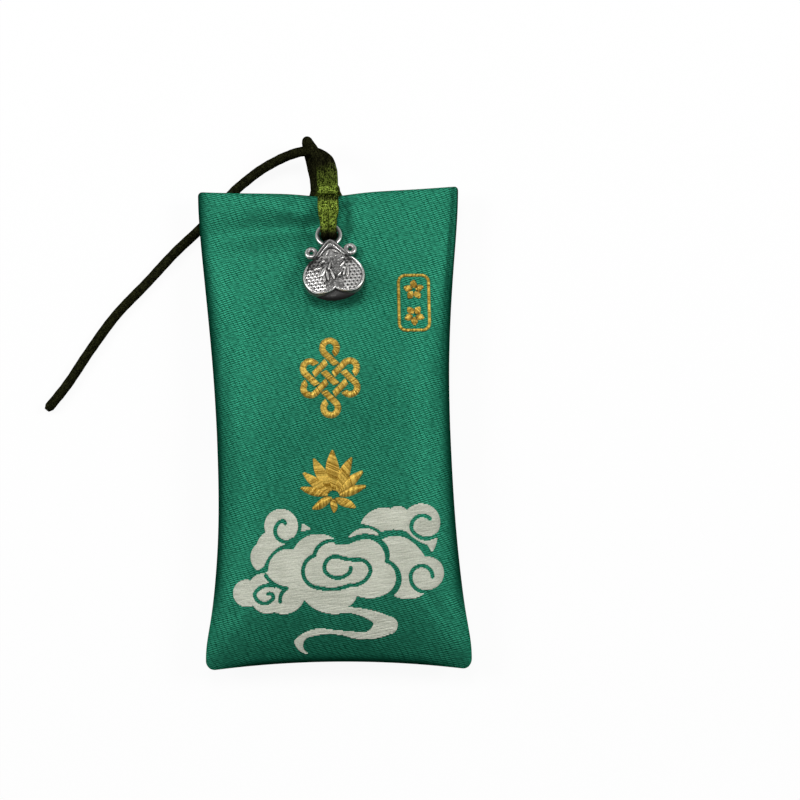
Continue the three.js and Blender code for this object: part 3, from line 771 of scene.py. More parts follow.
def tie_cord():
    finish = cord_finish()
    mirrored = [(-x, *rest) for x, *rest in reversed(HITCH_HALF)]
    points, sections = smooth_route([*HITCH_HALF, BIGHT_MIDDLE, *mirrored], HITCH_STEPS)
    above = points[:, 1] - MOUTH_Y
    wrapped = smoothstep(WRAP_SHADE_FROM, WRAP_SHADE_FULL, np.abs(points[:, 0]))
    # painted shade and shadow on the hitch: above the mouth, in the hole, under the bight and round its sides
    painted_shade = np.maximum.reduce([
        (above - CORD_SHADE_FROM) / CORD_SHADE_RUN,
        (-above - HOLE_SHADE_FROM) / HOLE_SHADE_RUN,
        BIGHT_SHADE * bell((above + BIGHT_SHADE_DROP) / BIGHT_SHADE_RUN),
        WRAP_SHADE * wrapped * smoothstep(-WRAP_SHADE_EASE, WRAP_SHADE_EASE, above),
    ])
    mesh = cord_mesh("hitch", points, sections, np.clip(painted_shade, 0, 1), False)
    add_piece("hitch_cord", mesh, finish, "pouch", "cord_hitch")
    for node, stops in (("long_tail", LONG_TAIL), ("short_tail", SHORT_TAIL)):
        name = node + "_cord"
        points, sections = smooth_route(stops, TAIL_STEPS)
        travelled = travelled_along(points)
        # painted shade on the tails, darker the further they run from the mouth edge
        painted_shade = np.clip((travelled + points[0, 1] - MOUTH_Y - CORD_SHADE_FROM) / CORD_SHADE_RUN, 0, 1)
        piece = add_piece(name, cord_mesh(name, points, sections, painted_shade, True), finish, "pouch", node)


# Satin panels
SETTLE_ACROSS, SETTLE_ALONG = 56, 100
SETTLE_FRAMES = 16
SETTLE_CAP = 0.8  # furthest that a point of the front may move as it settles
CUT_EASE = 1.015  # the cut's length over the filled front's
CLOTH = {
    "vertex_group_mass": "held", "quality": 6, "mass": 0.0002, "tension_stiffness": 12,
    "compression_stiffness": 12, "shear_stiffness": 4, "bending_stiffness": 0.02,
    "use_pressure": True, "uniform_pressure_force": 2.0,
}
HELD_EDGE = 0.985  # share of the width and the length from which on the seam holds the cloth
HITCH_HOLD, HITCH_HOLD_DROP = 1.4, 10  # how firmly the hitch holds the cloth, and how far below the mouth edge
HITCH_HOLD_HALF_WIDTH, HITCH_HOLD_HALF_LENGTH = 13, 16


def settled(start, cut, held):
    """Lets a grid of cloth settle from its start towards its flat cut, and returns where it comes to lie."""
    rows, columns = start.shape[:2]
    cloth = add_object("settling", mesh_of("settling", start.reshape(-1, 3), grid_faces(columns, rows)))
    cloth.shape_key_add(name="start")
    key = cloth.shape_key_add(name="cut")
    key.data.foreach_set("co", (cut.reshape(-1, 3) * MM).astype(np.float32).ravel())
    group = cloth.vertex_groups.new(name="held")
    for index, weight in enumerate(held.ravel()):
        group.add([index], float(weight), "REPLACE")
    settings = cloth.modifiers.new("cloth", "CLOTH").settings
    settings.rest_shape_key = key
    for name, setting in CLOTH.items():
        setattr(settings, name, setting)
    settings.effector_weights.gravity = 0
    for number in range(1, SETTLE_FRAMES + 1):
        bpy.context.scene.frame_set(number)
    seen = cloth.evaluated_get(bpy.context.evaluated_depsgraph_get()).to_mesh()
    points = np.empty(len(seen.vertices) * 3, dtype=np.float32)
    seen.vertices.foreach_get("co", points)
    bpy.context.scene.frame_set(1)
    bpy.data.objects.remove(cloth)
    return points.reshape(start.shape) / MM


def settled_front(s, t):
    """How far the front's cloth moves off its drawn form as it settles over the filling."""
    cs, ct = np.meshgrid(np.linspace(-1, 1, SETTLE_ACROSS + 1), np.linspace(-1, 1, SETTLE_ALONG + 1))
    x, y = lie(cs, ct)
    start = np.stack([x, y, front_height(cs, ct)], axis=-1)
    flat = (cs * POUCH_WIDTH / 2 * CUT_EASE, ct * POUCH_LENGTH / 2 * CUT_EASE, np.zeros_like(cs))
    below = bell((y - MOUTH_Y + HITCH_HOLD_DROP) / HITCH_HOLD_HALF_LENGTH)
    hold = np.clip(HITCH_HOLD * bell(x / HITCH_HOLD_HALF_WIDTH) * below, 0, 1)
    held = np.where((np.abs(cs) > HELD_EDGE) | (np.abs(ct) > HELD_EDGE), 1.0, hold)
    shift = settled(start, np.stack(flat, axis=-1), held) - start
    length = np.linalg.norm(shift, axis=-1, keepdims=True)
    shift *= np.tanh(length / SETTLE_CAP) * SETTLE_CAP / np.maximum(length, 1e-9)
    column = np.clip((s + 1) / 2 * SETTLE_ACROSS, 0, SETTLE_ACROSS - 1e-6)
    row = np.clip((t + 1) / 2 * SETTLE_ALONG, 0, SETTLE_ALONG - 1e-6)
    i, j = column.astype(int), row.astype(int)
    a, b = (column - i)[..., None], (row - j)[..., None]
    lower = shift[j, i] * (1 - a) + shift[j, i + 1] * a
    upper = shift[j + 1, i] * (1 - a) + shift[j + 1, i + 1] * a
    return lower * (1 - b) + upper * b


def edge_steps(count):
    """From -1 to 1, finer towards both ends."""
    even = np.linspace(0, 1, count + 1)
    eased = (1 - np.cos(math.pi * even)) / 2
    return -1 + 2 * ((1 - EDGE_FINENESS) * even + EDGE_FINENESS * eased)


def painted_seam_and_base_shade(s, t):
    """Painted shade: how much darker the satin's colour is along the sides and the base, where the cloth falls
    away from the light.
    """
    to_base = (1 + t) * POUCH_LENGTH / 2
    to_seam = np.minimum(from_side(s, t), to_base)
    strip = bell((to_seam - SEAM_STRIP_INSET) / SEAM_STRIP_HALF_WIDTH)
    strip *= (s > 0) * smoothstep(*SEAM_STRIP_ENDS, t)
    at_corner = smoothstep(FREE_CORNER_FROM, 1, np.abs(s)) * smoothstep(*FREE_CORNER_RUN, -t)
    edge = bell(to_seam / PAINTED_EDGE_SHADE_WIDTH) * (1 - SEAM_STRIP * strip) * (1 - FREE_CORNER * at_corner)
    base = BASE_SHADE * bell(to_base / BASE_SHADE_RUN) * bell(s / BASE_SHADE_SPREAD)
    return edge + base * (1 - edge)


def satin_panel(name, height, hole_drop, node, material, facing_up, settle):
    s, t = np.meshgrid(edge_steps(PANEL_ACROSS), edge_steps(PANEL_ALONG))
    x, y = lie(s, t)
    points = np.stack([x, y, height(s, t)], axis=-1)
    if settle:
        points += settled_front(s, t)
    faces = grid_faces(PANEL_ACROSS + 1, PANEL_ALONG + 1)
    mesh = mesh_of(name, points.reshape(-1, 3), faces if facing_up else faces[:, ::-1])
    flat = np.stack([s * POUCH_WIDTH / 2, t * POUCH_LENGTH / 2], axis=-1)
    add_uv(mesh, "cloth", flat.reshape(-1, 2))
    # painted shade along the seams and the base, kept as an attribute for the satin's colour
    add_attribute(mesh, "painted_satin_shade", painted_seam_and_base_shade(s, t).ravel())
    cut_hole(mesh, 0, MOUTH_Y - hole_drop)
    panel = add_piece(name, thicken(mesh, CLOTH_THICKNESS), material, "pouch", node)
    return panel


# Embroidery. A path is a start point, then ends of lines (x, y) or of arcs (via x, via y, x, y).
TRACE_STEP, GROOVE_STEP = 0.12, 0.2  # spacing of points along outlines and grooves
FILL_PITCH = 0.27  # rows of the flat filling
FILL_LENGTH = 3.8  # longest stitch of a row
FILL_STEP = 0.05
FILL_SHORTEST = 0.25
NEEDLE_SHIFT, NEEDLE_CLEAR = 1.37, 0.5  # shift of needle points from row to row, and room at a row's ends
GROOVE = 0.95  # bare line between parts of the cloud
SATIN_PITCH = 0.26
STROKE_SLANT, STROKE_END = 18, 0.35  # lean of a stroke's stitches in degrees, and share of width at its ends
PETAL_SLANT, PETAL_EASE = 25, 0.85  # lean of a petal's stitches, and how near its foot it is widest
PETAL_FROM, PETAL_TO, PETAL_NARROWEST = 0.04, 0.99, 0.12


def line(a, b, step):
    count = max(1, math.ceil(math.dist(a, b) / step))
    share = np.arange(1, count + 1)[:, None] / count
    return np.array(a) * (1 - share) + np.array(b) * share


def arc(a, via, b, step):
    (ax, ay), (mx, my), (bx, by) = a, via, b
    d = 2 * (ax * (my - by) + mx * (by - ay) + bx * (ay - my))
    if abs(d) < 1e-6:
        return line(a, b, step)
    aa, mm, bb = ax * ax + ay * ay, mx * mx + my * my, bx * bx + by * by
    cx = (aa * (my - by) + mm * (by - ay) + bb * (ay - my)) / d
    cy = (aa * (bx - mx) + mm * (ax - bx) + bb * (mx - ax)) / d
    radius = math.hypot(ax - cx, ay - cy)
    first, middle, last = (math.atan2(q - cy, p - cx) for p, q in (a, via, b))
    turn = (last - first) % TAU
    if (middle - first) % TAU > turn:
        turn -= TAU
    count = max(2, math.ceil(abs(turn) * radius / step))
    angles = first + turn * np.arange(1, count + 1) / count
    return np.stack([cx + radius * np.cos(angles), cy + radius * np.sin(angles)], axis=1)


def trace(path, step=TRACE_STEP):
    drawn = [np.array([path[0]], dtype=float)]
    for stop in path[1:]:
        here = tuple(drawn[-1][-1])
        drawn.append(line(here, stop, step) if len(stop) == 2 else arc(here, stop[:2], stop[2:], step))
    return np.vstack(drawn)


def resampled(points, pitch):
    travelled = travelled_along(points)
    count = max(2, round(travelled[-1] / pitch))
    at = np.linspace(0, travelled[-1], count + 1)
    return np.stack([np.interp(at, travelled, points[:, k]) for k in (0, 1)], axis=1)


def inside(points, outline):
    x, y = points[:, 0][:, None], points[:, 1][:, None]
    x0, y0 = outline[:, 0], outline[:, 1]
    x1, y1 = np.roll(x0, -1), np.roll(y0, -1)
    crosses = (y0 > y) != (y1 > y)
    where = x0 + (y - y0) * (x1 - x0) / np.where(y1 == y0, 1e-12, y1 - y0)
    return np.count_nonzero(crosses & (x < where), axis=1) % 2 == 1


def fill(path, grooves=()):
    """Rows of flat stitches that fill an outline and leave its grooves bare."""
    outline = trace(path)
    bare = np.vstack([trace(groove, GROOVE_STEP) for groove in grooves]) if grooves else None
    stitches = []
    low, high = outline.min(axis=0), outline.max(axis=0)
    for number, y in enumerate(np.arange(low[1], high[1], FILL_PITCH)):
        xs = np.arange(low[0], high[0], FILL_STEP)
        row = np.stack([xs, np.full_like(xs, y)], axis=1)
        sewn = inside(row, outline)
        if bare is not None:
            close = np.min(np.linalg.norm(row[:, None] - bare[None], axis=2), axis=1)
            sewn &= close > GROOVE / 2
        starts = np.flatnonzero(sewn & ~np.concatenate([[False], sewn[:-1]]))
        stops = np.flatnonzero(sewn & ~np.concatenate([sewn[1:], [False]]))
        for a, b in zip(xs[starts], xs[stops]):
            if b - a < FILL_SHORTEST:
                continue
            first = math.floor(a / FILL_LENGTH) * FILL_LENGTH + (number * NEEDLE_SHIFT) % FILL_LENGTH
            between = np.arange(first, b, FILL_LENGTH)
            needles = [a, *between[(between > a + NEEDLE_CLEAR) & (between < b - NEEDLE_CLEAR)], b]
            stitches += [((p, y), (q, y)) for p, q in zip(needles, needles[1:])]
    return stitches


def satin_stitches(path, width, rounded=True, skip=()):
    """Stitches laid side by side across a stroke; skip holds (point, radius) that stay bare."""
    points = resampled(trace(path), SATIN_PITCH)
    along = np.gradient(points, axis=0)
    along /= np.linalg.norm(along, axis=1)[:, None]
    across = np.stack(turned(along[:, 0], along[:, 1], STROKE_SLANT - 90), axis=1)
    share = np.linspace(-1, 1, len(points))
    ends = np.minimum(1, (1 - np.abs(share)) * len(points) * SATIN_PITCH / width)
    half = width / 2 * (STROKE_END + (1 - STROKE_END) * np.sqrt(ends if rounded else np.ones_like(ends)))
    reach = across * half[:, None]
    return [(tuple(middle - r), tuple(middle + r)) for middle, r in zip(points, reach)
            if all(math.dist(middle, spot) > gap for spot, gap in skip)]


def polar(radius, angle):
    turn = math.radians(angle)
    return radius * math.cos(turn), radius * math.sin(turn)


def petal_stitches(foot, angle, length, width, slant=PETAL_SLANT):
    """A pointed petal, sewn from edge to edge."""
    axis = np.array(polar(1, angle))
    side = np.array([-axis[1], axis[0]])
    lean = math.tan(math.radians(slant))
    stitches = []
    for share in np.arange(PETAL_FROM, PETAL_TO, SATIN_PITCH / length):
        half = width / 2 * math.sin(math.pi * share ** PETAL_EASE)
        middle = np.array(foot) + axis * length * share
        if half > PETAL_NARROWEST:
            reach = side * half + axis * half * lean
            stitches.append((tuple(middle - reach), tuple(middle + reach)))
    return stitches


def moved(stitches, dx, dy):
    return [((a + dx, b + dy), (c + dx, d + dy)) for (a, b), (c, d) in stitches]


def motif(*marks):
    """Stitches of strokes (path, width) and petals (foot, angle, length, width), in their order."""
    sewn = (satin_stitches(*mark) if len(mark) == 2 else petal_stitches(*mark) for mark in marks)
    return [stitch for stitches in sewn for stitch in stitches]


# Cloud on the front, and how far it is set off from where it is drawn
CLOUD_X, CLOUD_Y = 0.21, 0.42
LEFT_CURL = (
    (-18.1, -32.1), (-19.6, -29.4, -18.1, -26.1), (-17.3, -24.5, -16.0, -23.4), (-11.4, -18.3, -9.7, -24.7),
    (-9.9, -25.7), (-14.0, -27.5, -16.6, -31.2), (-18.1, -32.1),
)
LEFT_CURL_GROOVES = (((-9.8, -25.1), (-13.8, -23.4, -12.0, -20.8), (-11.7, -21.0, -11.5, -21.4)),)
FLECK = ((-7.6, -21.4), (-5.6, -22.8), (-7.9, -23.4), (-7.6, -21.4))
CRESCENT = ((2.6, -25.3), (5.9, -23.0, 9.7, -24.3), (9.5, -24.7), (6.3, -24.2, 2.6, -25.3))
RIGHT_TOP = (
    (5.7, -21.9), (8.6, -18.9, 12.6, -18.6), (14.5, -18.1, 16.3, -19.1), (22.6, -19.0, 23.3, -24.1),
    (23.1, -25.6), (22.7, -27.3, 21.8, -28.8), (20.7, -27.1), (19.5, -26.6), (17.7, -25.4, 16.1, -23.9),
    (13.3, -23.4, 10.4, -23.8), (8.4, -22.6, 5.7, -21.9),
)
RIGHT_TOP_GROOVES = (((23.4, -24.7), (20.6, -25.7, 17.3, -23.6), (18.4, -20.8, 21.5, -21.2)),)
RIGHT_LOWER = (
    (10.1, -25.8), (13.2, -24.9, 16.2, -25.6), (18.6, -27.6, 20.2, -29.9), (24.3, -32.7, 21.9, -37.2),
    (20.2, -38.0), (16.5, -39.4, 12.4, -38.2), (14.0, -34.9, 11.4, -30.9), (11.9, -28.4, 10.1, -25.8),
)
ROSETTE_EDGE = ((8.6, -25.3), (11.2, -27.2, 11.4, -30.6), (14.3, -34.6, 11.9, -38.5))
RIGHT_LOWER_GROOVES = (((20.9, -37.8), (17.6, -36.7, 16.8, -34.2), (19.0, -31.9, 21.8, -34.4)), ROSETTE_EDGE)
CLOUD_CORE = (
    (0.1, -25.6), (-3.9, -24.0, -9.7, -27.4), (-14.4, -28.9, -15.6, -32.2), (-16.6, -32.9),
    (-18.6, -33.3, -19.7, -34.4), (-23.8, -36.6, -19.3, -40.1), (-17.3, -41.8, -14.5, -41.7),
    (-10.6, -41.9, -7.6, -39.0), (-4.9, -41.3, 1.7, -42.1), (5.7, -43.2, 8.1, -44.7), (7.2, -46.3, 5.0, -46.8),
    (1.0, -46.4, -2.0, -46.05), (-7.2, -46.4, -10.2, -48.6), (-9.4, -50.5, -6.5, -51.8),
    (-8.2, -49.5, -6.2, -47.6), (-3.0, -47.1, 1.2, -47.5), (6.8, -48.5, 11.8, -47.4),
    (13.6, -45.6, 11.8, -43.3), (7.8, -41.8, 2.0, -40.9), (3.6, -39.9, 4.4, -38.3), (8.2, -38.9, 11.7, -37.7),
    (13.4, -34.8, 11.0, -30.7), (10.0, -27.0, 7.5, -25.5), (5.6, -25.6, 3.3, -26.4), (1.6, -26.6, -0.3, -26.4),
    (0.1, -25.6),
)
CLOUD_CORE_GROOVES = (
    ((-16.2, -33.3), (-14.6, -35.1, -11.5, -36.3), (-12.6, -37.3, -13.1, -39.3)),
    ((-14.3, -35.7), (-17.6, -36.1, -18.9, -37.5), (-17.5, -39.5, -15.1, -39.0), (-14.6, -38.2, -15.8, -37.5)),
    ((0.4, -25.9), (-3.3, -26.3, -5.0, -28.9), (-7.7, -32.6, -4.2, -36.3), (-1.2, -36.7, 3.0, -35.8),
     (6.9, -34.3, 7.7, -32.7), (7.0, -30.9, 5.0, -30.1), (2.7, -29.9, 1.2, -29.6), (-2.4, -30.4, -2.7, -32.5),
     (-0.2, -34.1, 2.2, -33.5), (3.0, -32.8, 3.2, -31.9)),
    ROSETTE_EDGE,
)


def cloud_stitches():
    sewn = [
        *fill(LEFT_CURL, LEFT_CURL_GROOVES), *fill(FLECK), *fill(CRESCENT),
        *fill(RIGHT_TOP, RIGHT_TOP_GROOVES), *fill(RIGHT_LOWER, RIGHT_LOWER_GROOVES),
        *fill(CLOUD_CORE, CLOUD_CORE_GROOVES),
    ]
    return moved(sewn, CLOUD_X, CLOUD_Y)


# Gold work. Motifs are drawn around the origin and moved to their places.
KNOT_PLACE, KNOT_PITCH, KNOT_STROKE, KNOT_GAP = (-0.3, 11.9), 3.2, 1.35, 0.42
KNOT_END, KNOT_LOOP = 1.5, 0.75  # in pitches: half a line's length, and how far the end loops reach out
LOTUS_PLACE, LOTUS_HEART = (-0.1, -15.2), 1.3
LOTUS_LOW_HEART = LOTUS_HEART / 3  # for its low leaves and stem
# Petals of the lotus: direction in degrees, length and width
LOTUS = (
    (90, 9.6, 3.2), (64, 8.8, 2.6), (116, 8.8, 2.6), (40, 7.9, 2.2), (140, 7.9, 2.2), (17, 6.8, 1.9),
    (163, 6.8, 1.9), (-28, 5.4, 1.9), (208, 5.4, 1.9), (270, 3.2, 1.5),
)
CARTOUCHE_PLACE, CARTOUCHE_WIDTH, CARTOUCHE_LENGTH = (19.2, 28.7), 6.9, 12.6
CARTOUCHE_CORNER, CARTOUCHE_STROKE = 1.6, 0.5
CARTOUCHE_BLOSSOM, CARTOUCHE_BLOSSOM_OFF = 2.3, 2.9
# Blossom, in shares of its radius: foot, length and width of a petal; and its stitches' lean in degrees
BLOSSOM_FOOT, BLOSSOM_LENGTH, BLOSSOM_WIDTH, BLOSSOM_SLANT = 0.22, 0.8, 0.62, 12


def endless_knot():
    """Three lines each way, woven over and under, with their ends joined by loops."""
    def at(p, q):
        return turned(p * KNOT_PITCH, q * KNOT_PITCH, 45)

    lines, clear = (-1, 0, 1), KNOT_STROKE / 2 + KNOT_GAP
    stitches = []
    for i in lines:
        over = [(at(j, i), clear) for j in lines if (i + j) % 2]
        under = [(at(i, j), clear) for j in lines if not (i + j) % 2]
        rising, falling = (at(-KNOT_END, i), at(KNOT_END, i)), (at(i, -KNOT_END), at(i, KNOT_END))
        stitches += satin_stitches(rising, KNOT_STROKE, rounded=False, skip=over)
        stitches += satin_stitches(falling, KNOT_STROKE, rounded=False, skip=under)
    for sign in (1, -1):
        end, half = KNOT_END * sign, sign / 2
        tip = end + half * KNOT_LOOP
        for loop in (
            (at(end, sign), (*at(end + half, half), *at(end, 0))),
            (at(sign, end), (*at(half, end + half), *at(0, end))),
            (at(end, -sign), (*at(tip, -tip), *at(sign, -end))),
        ):
            stitches += satin_stitches(loop, KNOT_STROKE, rounded=False)
    return stitches


def lotus():
    """Open blossom on a short stem with two low leaves."""
    feet = (polar(LOTUS_HEART if 0 < angle < 180 else LOTUS_LOW_HEART, angle) for angle, *_ in LOTUS)
    return motif(*((foot, *petal) for foot, petal in zip(feet, LOTUS)))


def blossom(radius, petals, turn=90):
    stitches = []
    for angle in (turn + 360 * k / petals for k in range(petals)):
        stitches += petal_stitches(polar(BLOSSOM_FOOT * radius, angle), angle, BLOSSOM_LENGTH * radius,
                                   BLOSSOM_WIDTH * radius, BLOSSOM_SLANT)
    return stitches


def cartouche():
    """Frame with round corners around two blossoms."""
    right, top = CARTOUCHE_WIDTH / 2, CARTOUCHE_LENGTH / 2
    bend = CARTOUCHE_CORNER * (1 - math.sqrt(0.5))
    path = [(right, CARTOUCHE_CORNER - top)]
    for sx, sy in ((1, 1), (-1, 1), (-1, -1), (1, -1)):
        side = (sx * right, sy * (top - CARTOUCHE_CORNER))
        end = (sx * (right - CARTOUCHE_CORNER), sy * top)
        start, stop = (side, end) if sx == sy else (end, side)
        path += [start, (sx * (right - bend), sy * (top - bend), *stop)]
    return [
        *satin_stitches([*path, path[0]], CARTOUCHE_STROKE, rounded=False),
        *moved(blossom(CARTOUCHE_BLOSSOM, 5), 0, CARTOUCHE_BLOSSOM_OFF),
        *moved(blossom(CARTOUCHE_BLOSSOM, 5, -90), 0, -CARTOUCHE_BLOSSOM_OFF),
    ]


def front_gold():
    placed = ((endless_knot(), KNOT_PLACE), (lotus(), LOTUS_PLACE), (cartouche(), CARTOUCHE_PLACE))
    return [stitch for stitches, place in placed for stitch in moved(stitches, *place)]


# Gold work on the back. u is measured to the right as one looks at the back, so x is -u.
DIPPER = ((-15.8, 6.4), (-6.8, 7.75), (-1.5, 5.85), (5.5, 5.0), (8.7, -1.2), (18.1, -0.35), (18.2, 6.9))
STAR_RADIUS, STAR_STROKE, STAR_GAP, DIPPER_STROKE = 1.0, 0.7, 0.1, 0.8
BACK_ROW_Y = 22
BACK_ROW = ((-17.5, 4), (-5.6, 6), (6.5, 4), (19.3, 6))  # u and number of petals of each blossom
BACK_BLOSSOM, BACK_HEART = 4.4, 0.55
COIN_PLACE, COIN_RADIUS, COIN_STROKE = (-14.5, -17.9), 6.4, 1.4
COIN_HOLE, COIN_HOLE_STROKE = 2.3, 1.0
COIN_PETALS = [(polar(3.6, angle), angle, 2.0, 1.3) for angle in (45, 135, 225, 315)]
WAVES_PLACE = (15.5, -18.2)
CURL = ((-4.6, -4), (-3.8, 2.6, 1.2, 2.4), (2.6, -0.4, 0, -1), (-1.2, 0.2, 0.2, 0.7))
CURLS = ((-3.4, 3.8, 1.25), (3.2, 3.2, 1.25), (0, -1.6, 1.4))  # place and stroke of each
GROUND_SWELL = (((-6.6, -7), (0, -5.4, 6.6, -7)), 1.3)
FLAME_PLACE = (0.5, -31.2)
FLAME_FOOT = (0, -5.4)
FLAME = (
    (FLAME_FOOT, 90, 12.5, 3.6), (FLAME_FOOT, 62, 9.4, 2.6), (FLAME_FOOT, 118, 9.4, 2.6),
    (FLAME_FOOT, 38, 6.6, 2.0), (FLAME_FOOT, 142, 6.6, 2.0), (((-5.6, -5.2), (0, -8.4, 5.6, -5.2)), 1.4),
)
SPRAY_PLACE, SPRAY_LEAF = (-15.4, -43.6), (5.0, 2.3)
SPRAY = (
    (((-5, -7.4), (-0.6, -1.2, 4.6, 6.6)), 0.95),
    ((-3.6, -4.9), 118, *SPRAY_LEAF), ((-2.2, -3.2), 8, *SPRAY_LEAF), ((-1.3, -1.6), 126, *SPRAY_LEAF),
    ((0.4, 0.4), 16, *SPRAY_LEAF), ((1.2, 1.8), 132, *SPRAY_LEAF), ((2.6, 3.6), 22, *SPRAY_LEAF),
)
MOUNTAIN_PLACE, RIDGE_STROKE, MIST_STROKE = (14.2, -43.2), 1.35, 1.05
MOUNTAIN = (
    (((-7, -4), (-3, 2.4), (-0.6, -1.2)), RIDGE_STROKE),
    (((-2.6, -0.6), (1.2, 7.4), (5.4, -1.6)), RIDGE_STROKE),
    (((3.4, 1.6), (5, 3.2), (7.2, -3)), RIDGE_STROKE),
    (((-7, -5), (-3.5, -3.8, 0, -5), (3.5, -6.2, 7, -5)), MIST_STROKE),
    (((-7, -7.2), (-3.5, -6, 0, -7.2), (3.5, -8.4, 7, -7.2)), MIST_STROKE),
)


def ring(radius, stroke):
    path = ((radius, 0), (0, radius, -radius, 0), (0, -radius, radius, 0))
    return satin_stitches(path, stroke, rounded=False)


def dipper():
    stitches = []
    for a, b in zip(DIPPER, DIPPER[1:]):
        clear = np.subtract(b, a) * (STAR_RADIUS + STAR_STROKE / 2 + STAR_GAP) / math.dist(a, b)
        stitches += satin_stitches((a + clear, b - clear), DIPPER_STROKE, rounded=False)
    for star in DIPPER:
        stitches += moved(ring(STAR_RADIUS, STAR_STROKE), *star)
    return stitches


def coin():
    square = [(x * COIN_HOLE, y * COIN_HOLE) for x, y in ((-1, -1), (1, -1), (1, 1), (-1, 1), (-1, -1))]
    hole = satin_stitches(square, COIN_HOLE_STROKE, rounded=False)
    return [*ring(COIN_RADIUS, COIN_STROKE), *hole, *motif(*COIN_PETALS)]


def waves():
    curls = [stitch for x, y, stroke in CURLS for stitch in moved(satin_stitches(CURL, stroke), x, y)]
    return curls + motif(GROUND_SWELL)


def back_gold():
    stitches = dipper()
    for u, petals in BACK_ROW:
        stitches += moved(blossom(BACK_BLOSSOM, petals) + ring(BACK_HEART, BACK_HEART), u, BACK_ROW_Y)
    for sewn, place in ((coin(), COIN_PLACE), (waves(), WAVES_PLACE), (motif(*FLAME), FLAME_PLACE),
                        (motif(*SPRAY), SPRAY_PLACE), (motif(*MOUNTAIN), MOUNTAIN_PLACE)):
        stitches += moved(sewn, *place)
    return [((-a, b), (-c, d)) for (a, b), (c, d) in stitches]


STITCH_INPUTS = {
    "Edges": "Geometry", "Ground": "Object", "Down": "Vector", "Thread": "Float", "Loft": "Float",
    "Sink": "Float", "Seed": "Int", "Finish": "Material",
}
STITCH_POINTS, THREAD_SIDES = 6, 6
THREAD_SINK = 0.2  # share of a thread's diameter by which its ends sink into the cloth
NEEDLE_HEIGHT = 50  # how far off the cloth stitches are drawn before they are laid on it


def stitch_tree():
    """Geometry Nodes: each edge becomes one arched thread on the ground under it."""
    tree = bpy.data.node_groups.new("stitches", "GeometryNodeTree")
    for name, kind in STITCH_INPUTS.items():
        tree.interface.new_socket(name, in_out="INPUT", socket_type="NodeSocket" + kind)
    tree.interface.new_socket("Threads", in_out="OUTPUT", socket_type="NodeSocketGeometry")
    made = Nodes(tree)
    entry = tree.nodes.new("NodeGroupInput")
    given = {name: Value(made, entry.outputs[name]) for name in STITCH_INPUTS}
    splines = made.node("GeometryNodeMeshToCurve", {}, {"Mesh": given["Edges"]})
    tone = made.node("FunctionNodeRandomValue", {"data_type": "FLOAT"}, {"Seed": given["Seed"]}, out=1)
    toned = made.node("GeometryNodeStoreNamedAttribute", {"data_type": "FLOAT", "domain": "CURVE"},
                      {"Geometry": splines, "Name": "thread_tone", "Value": tone})
    fine = made.node("GeometryNodeResampleCurve", {}, {"Curve": toned, "Count": STITCH_POINTS})
    ground = made.node("GeometryNodeObjectInfo", {"transform_space": "RELATIVE"},
                       {"Object": given["Ground"]}, out="Geometry")
    where = made.node("GeometryNodeInputPosition", {}, {})
    hit = made.node("GeometryNodeRaycast", {}, {
        "Target Geometry": ground, "Source Position": where, "Ray Direction": given["Down"], "Ray Length": 1.0,
    }, out="Hit Position")
    share = made.node("GeometryNodeSplineParameter", {}, {}, out="Factor")
    lift = (share * (1.0 - share) * 4.0) ** 0.5 * given["Loft"] - given["Sink"]
    offset = made.node("ShaderNodeVectorMath", {"operation": "SCALE"},
                       {0: hit.output("Hit Normal"), "Scale": lift})
    place = made.node("ShaderNodeVectorMath", {"operation": "ADD"}, {0: hit, 1: offset})
    laid = made.node("GeometryNodeSetPosition", {}, {"Geometry": fine, "Position": place})
    section = made.node("GeometryNodeCurvePrimitiveCircle", {},
                        {"Resolution": THREAD_SIDES, "Radius": given["Thread"]})
    tubes = made.node("GeometryNodeCurveToMesh", {},
                      {"Curve": laid, "Profile Curve": section, "Fill Caps": True})
    real = made.node("GeometryNodeRealizeInstances", {}, {"Geometry": tubes})
    dyed = made.node("GeometryNodeSetMaterial", {}, {"Geometry": real, "Material": given["Finish"]})
    leave = tree.nodes.new("NodeGroupOutput")
    tree.links.new(dyed.socket, leave.inputs["Threads"])
    return tree


def sew(name, tree, stitches, ground, down, thread, loft, seed, finish):
    """Sews stitches, given flat in millimetres, onto a panel."""
    points = [(x * MM, y * MM, -down * NEEDLE_HEIGHT * MM) for pair in stitches for x, y in pair]
    edges = [(2 * k, 2 * k + 1) for k in range(len(stitches))]
    mesh = bpy.data.meshes.new(name)
    mesh.from_pydata(points, edges, [])
    holder = add_object("sewing", mesh)
    sewing = holder.modifiers.new("stitches", "NODES")
    sewing.node_group = tree
    names = {item.name: item.identifier for item in tree.interface.items_tree if item.in_out == "INPUT"}
    values = {"Ground": ground, "Down": (0.0, 0.0, float(down)), "Thread": thread / 2 * MM, "Loft": loft * MM,
              "Sink": thread * THREAD_SINK * MM, "Seed": seed, "Finish": finish}
    for key, value in values.items():
        sewing[names[key]] = value
    return add_piece(name, baked(holder), finish, "pouch")


# Filling inside the pouch
SEAM_ALLOWANCE, STUFFING_INSET, MOUTH_CLEAR = 2, 1, 18
SLIP_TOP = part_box("talisman_slip")[1].z / MM
LAYER_WELD = 0.0001
WADDING_GRID, BACKING_GRID = (81, 121), (61, 91)
# Loose fibre: how far it stays under and over its layers, then the height and size of its lumps
UPPER_LOOSE, UPPER_LUMP, UPPER_LUMP_SIZE = 0.5, 0.35, 3.1
LOWER_LOOSE, LOWER_LUMP, LOWER_LUMP_SIZE, LOWER_LUMP_OFF = 0.3, 0.25, 2.7, 9
LUMP_WAVES = (1, 1.3, 0.7), (1.1, 0.8, 0.6)
WADDING_THINNEST = 0.25
FRONT_BACKING_DROP = 0.4


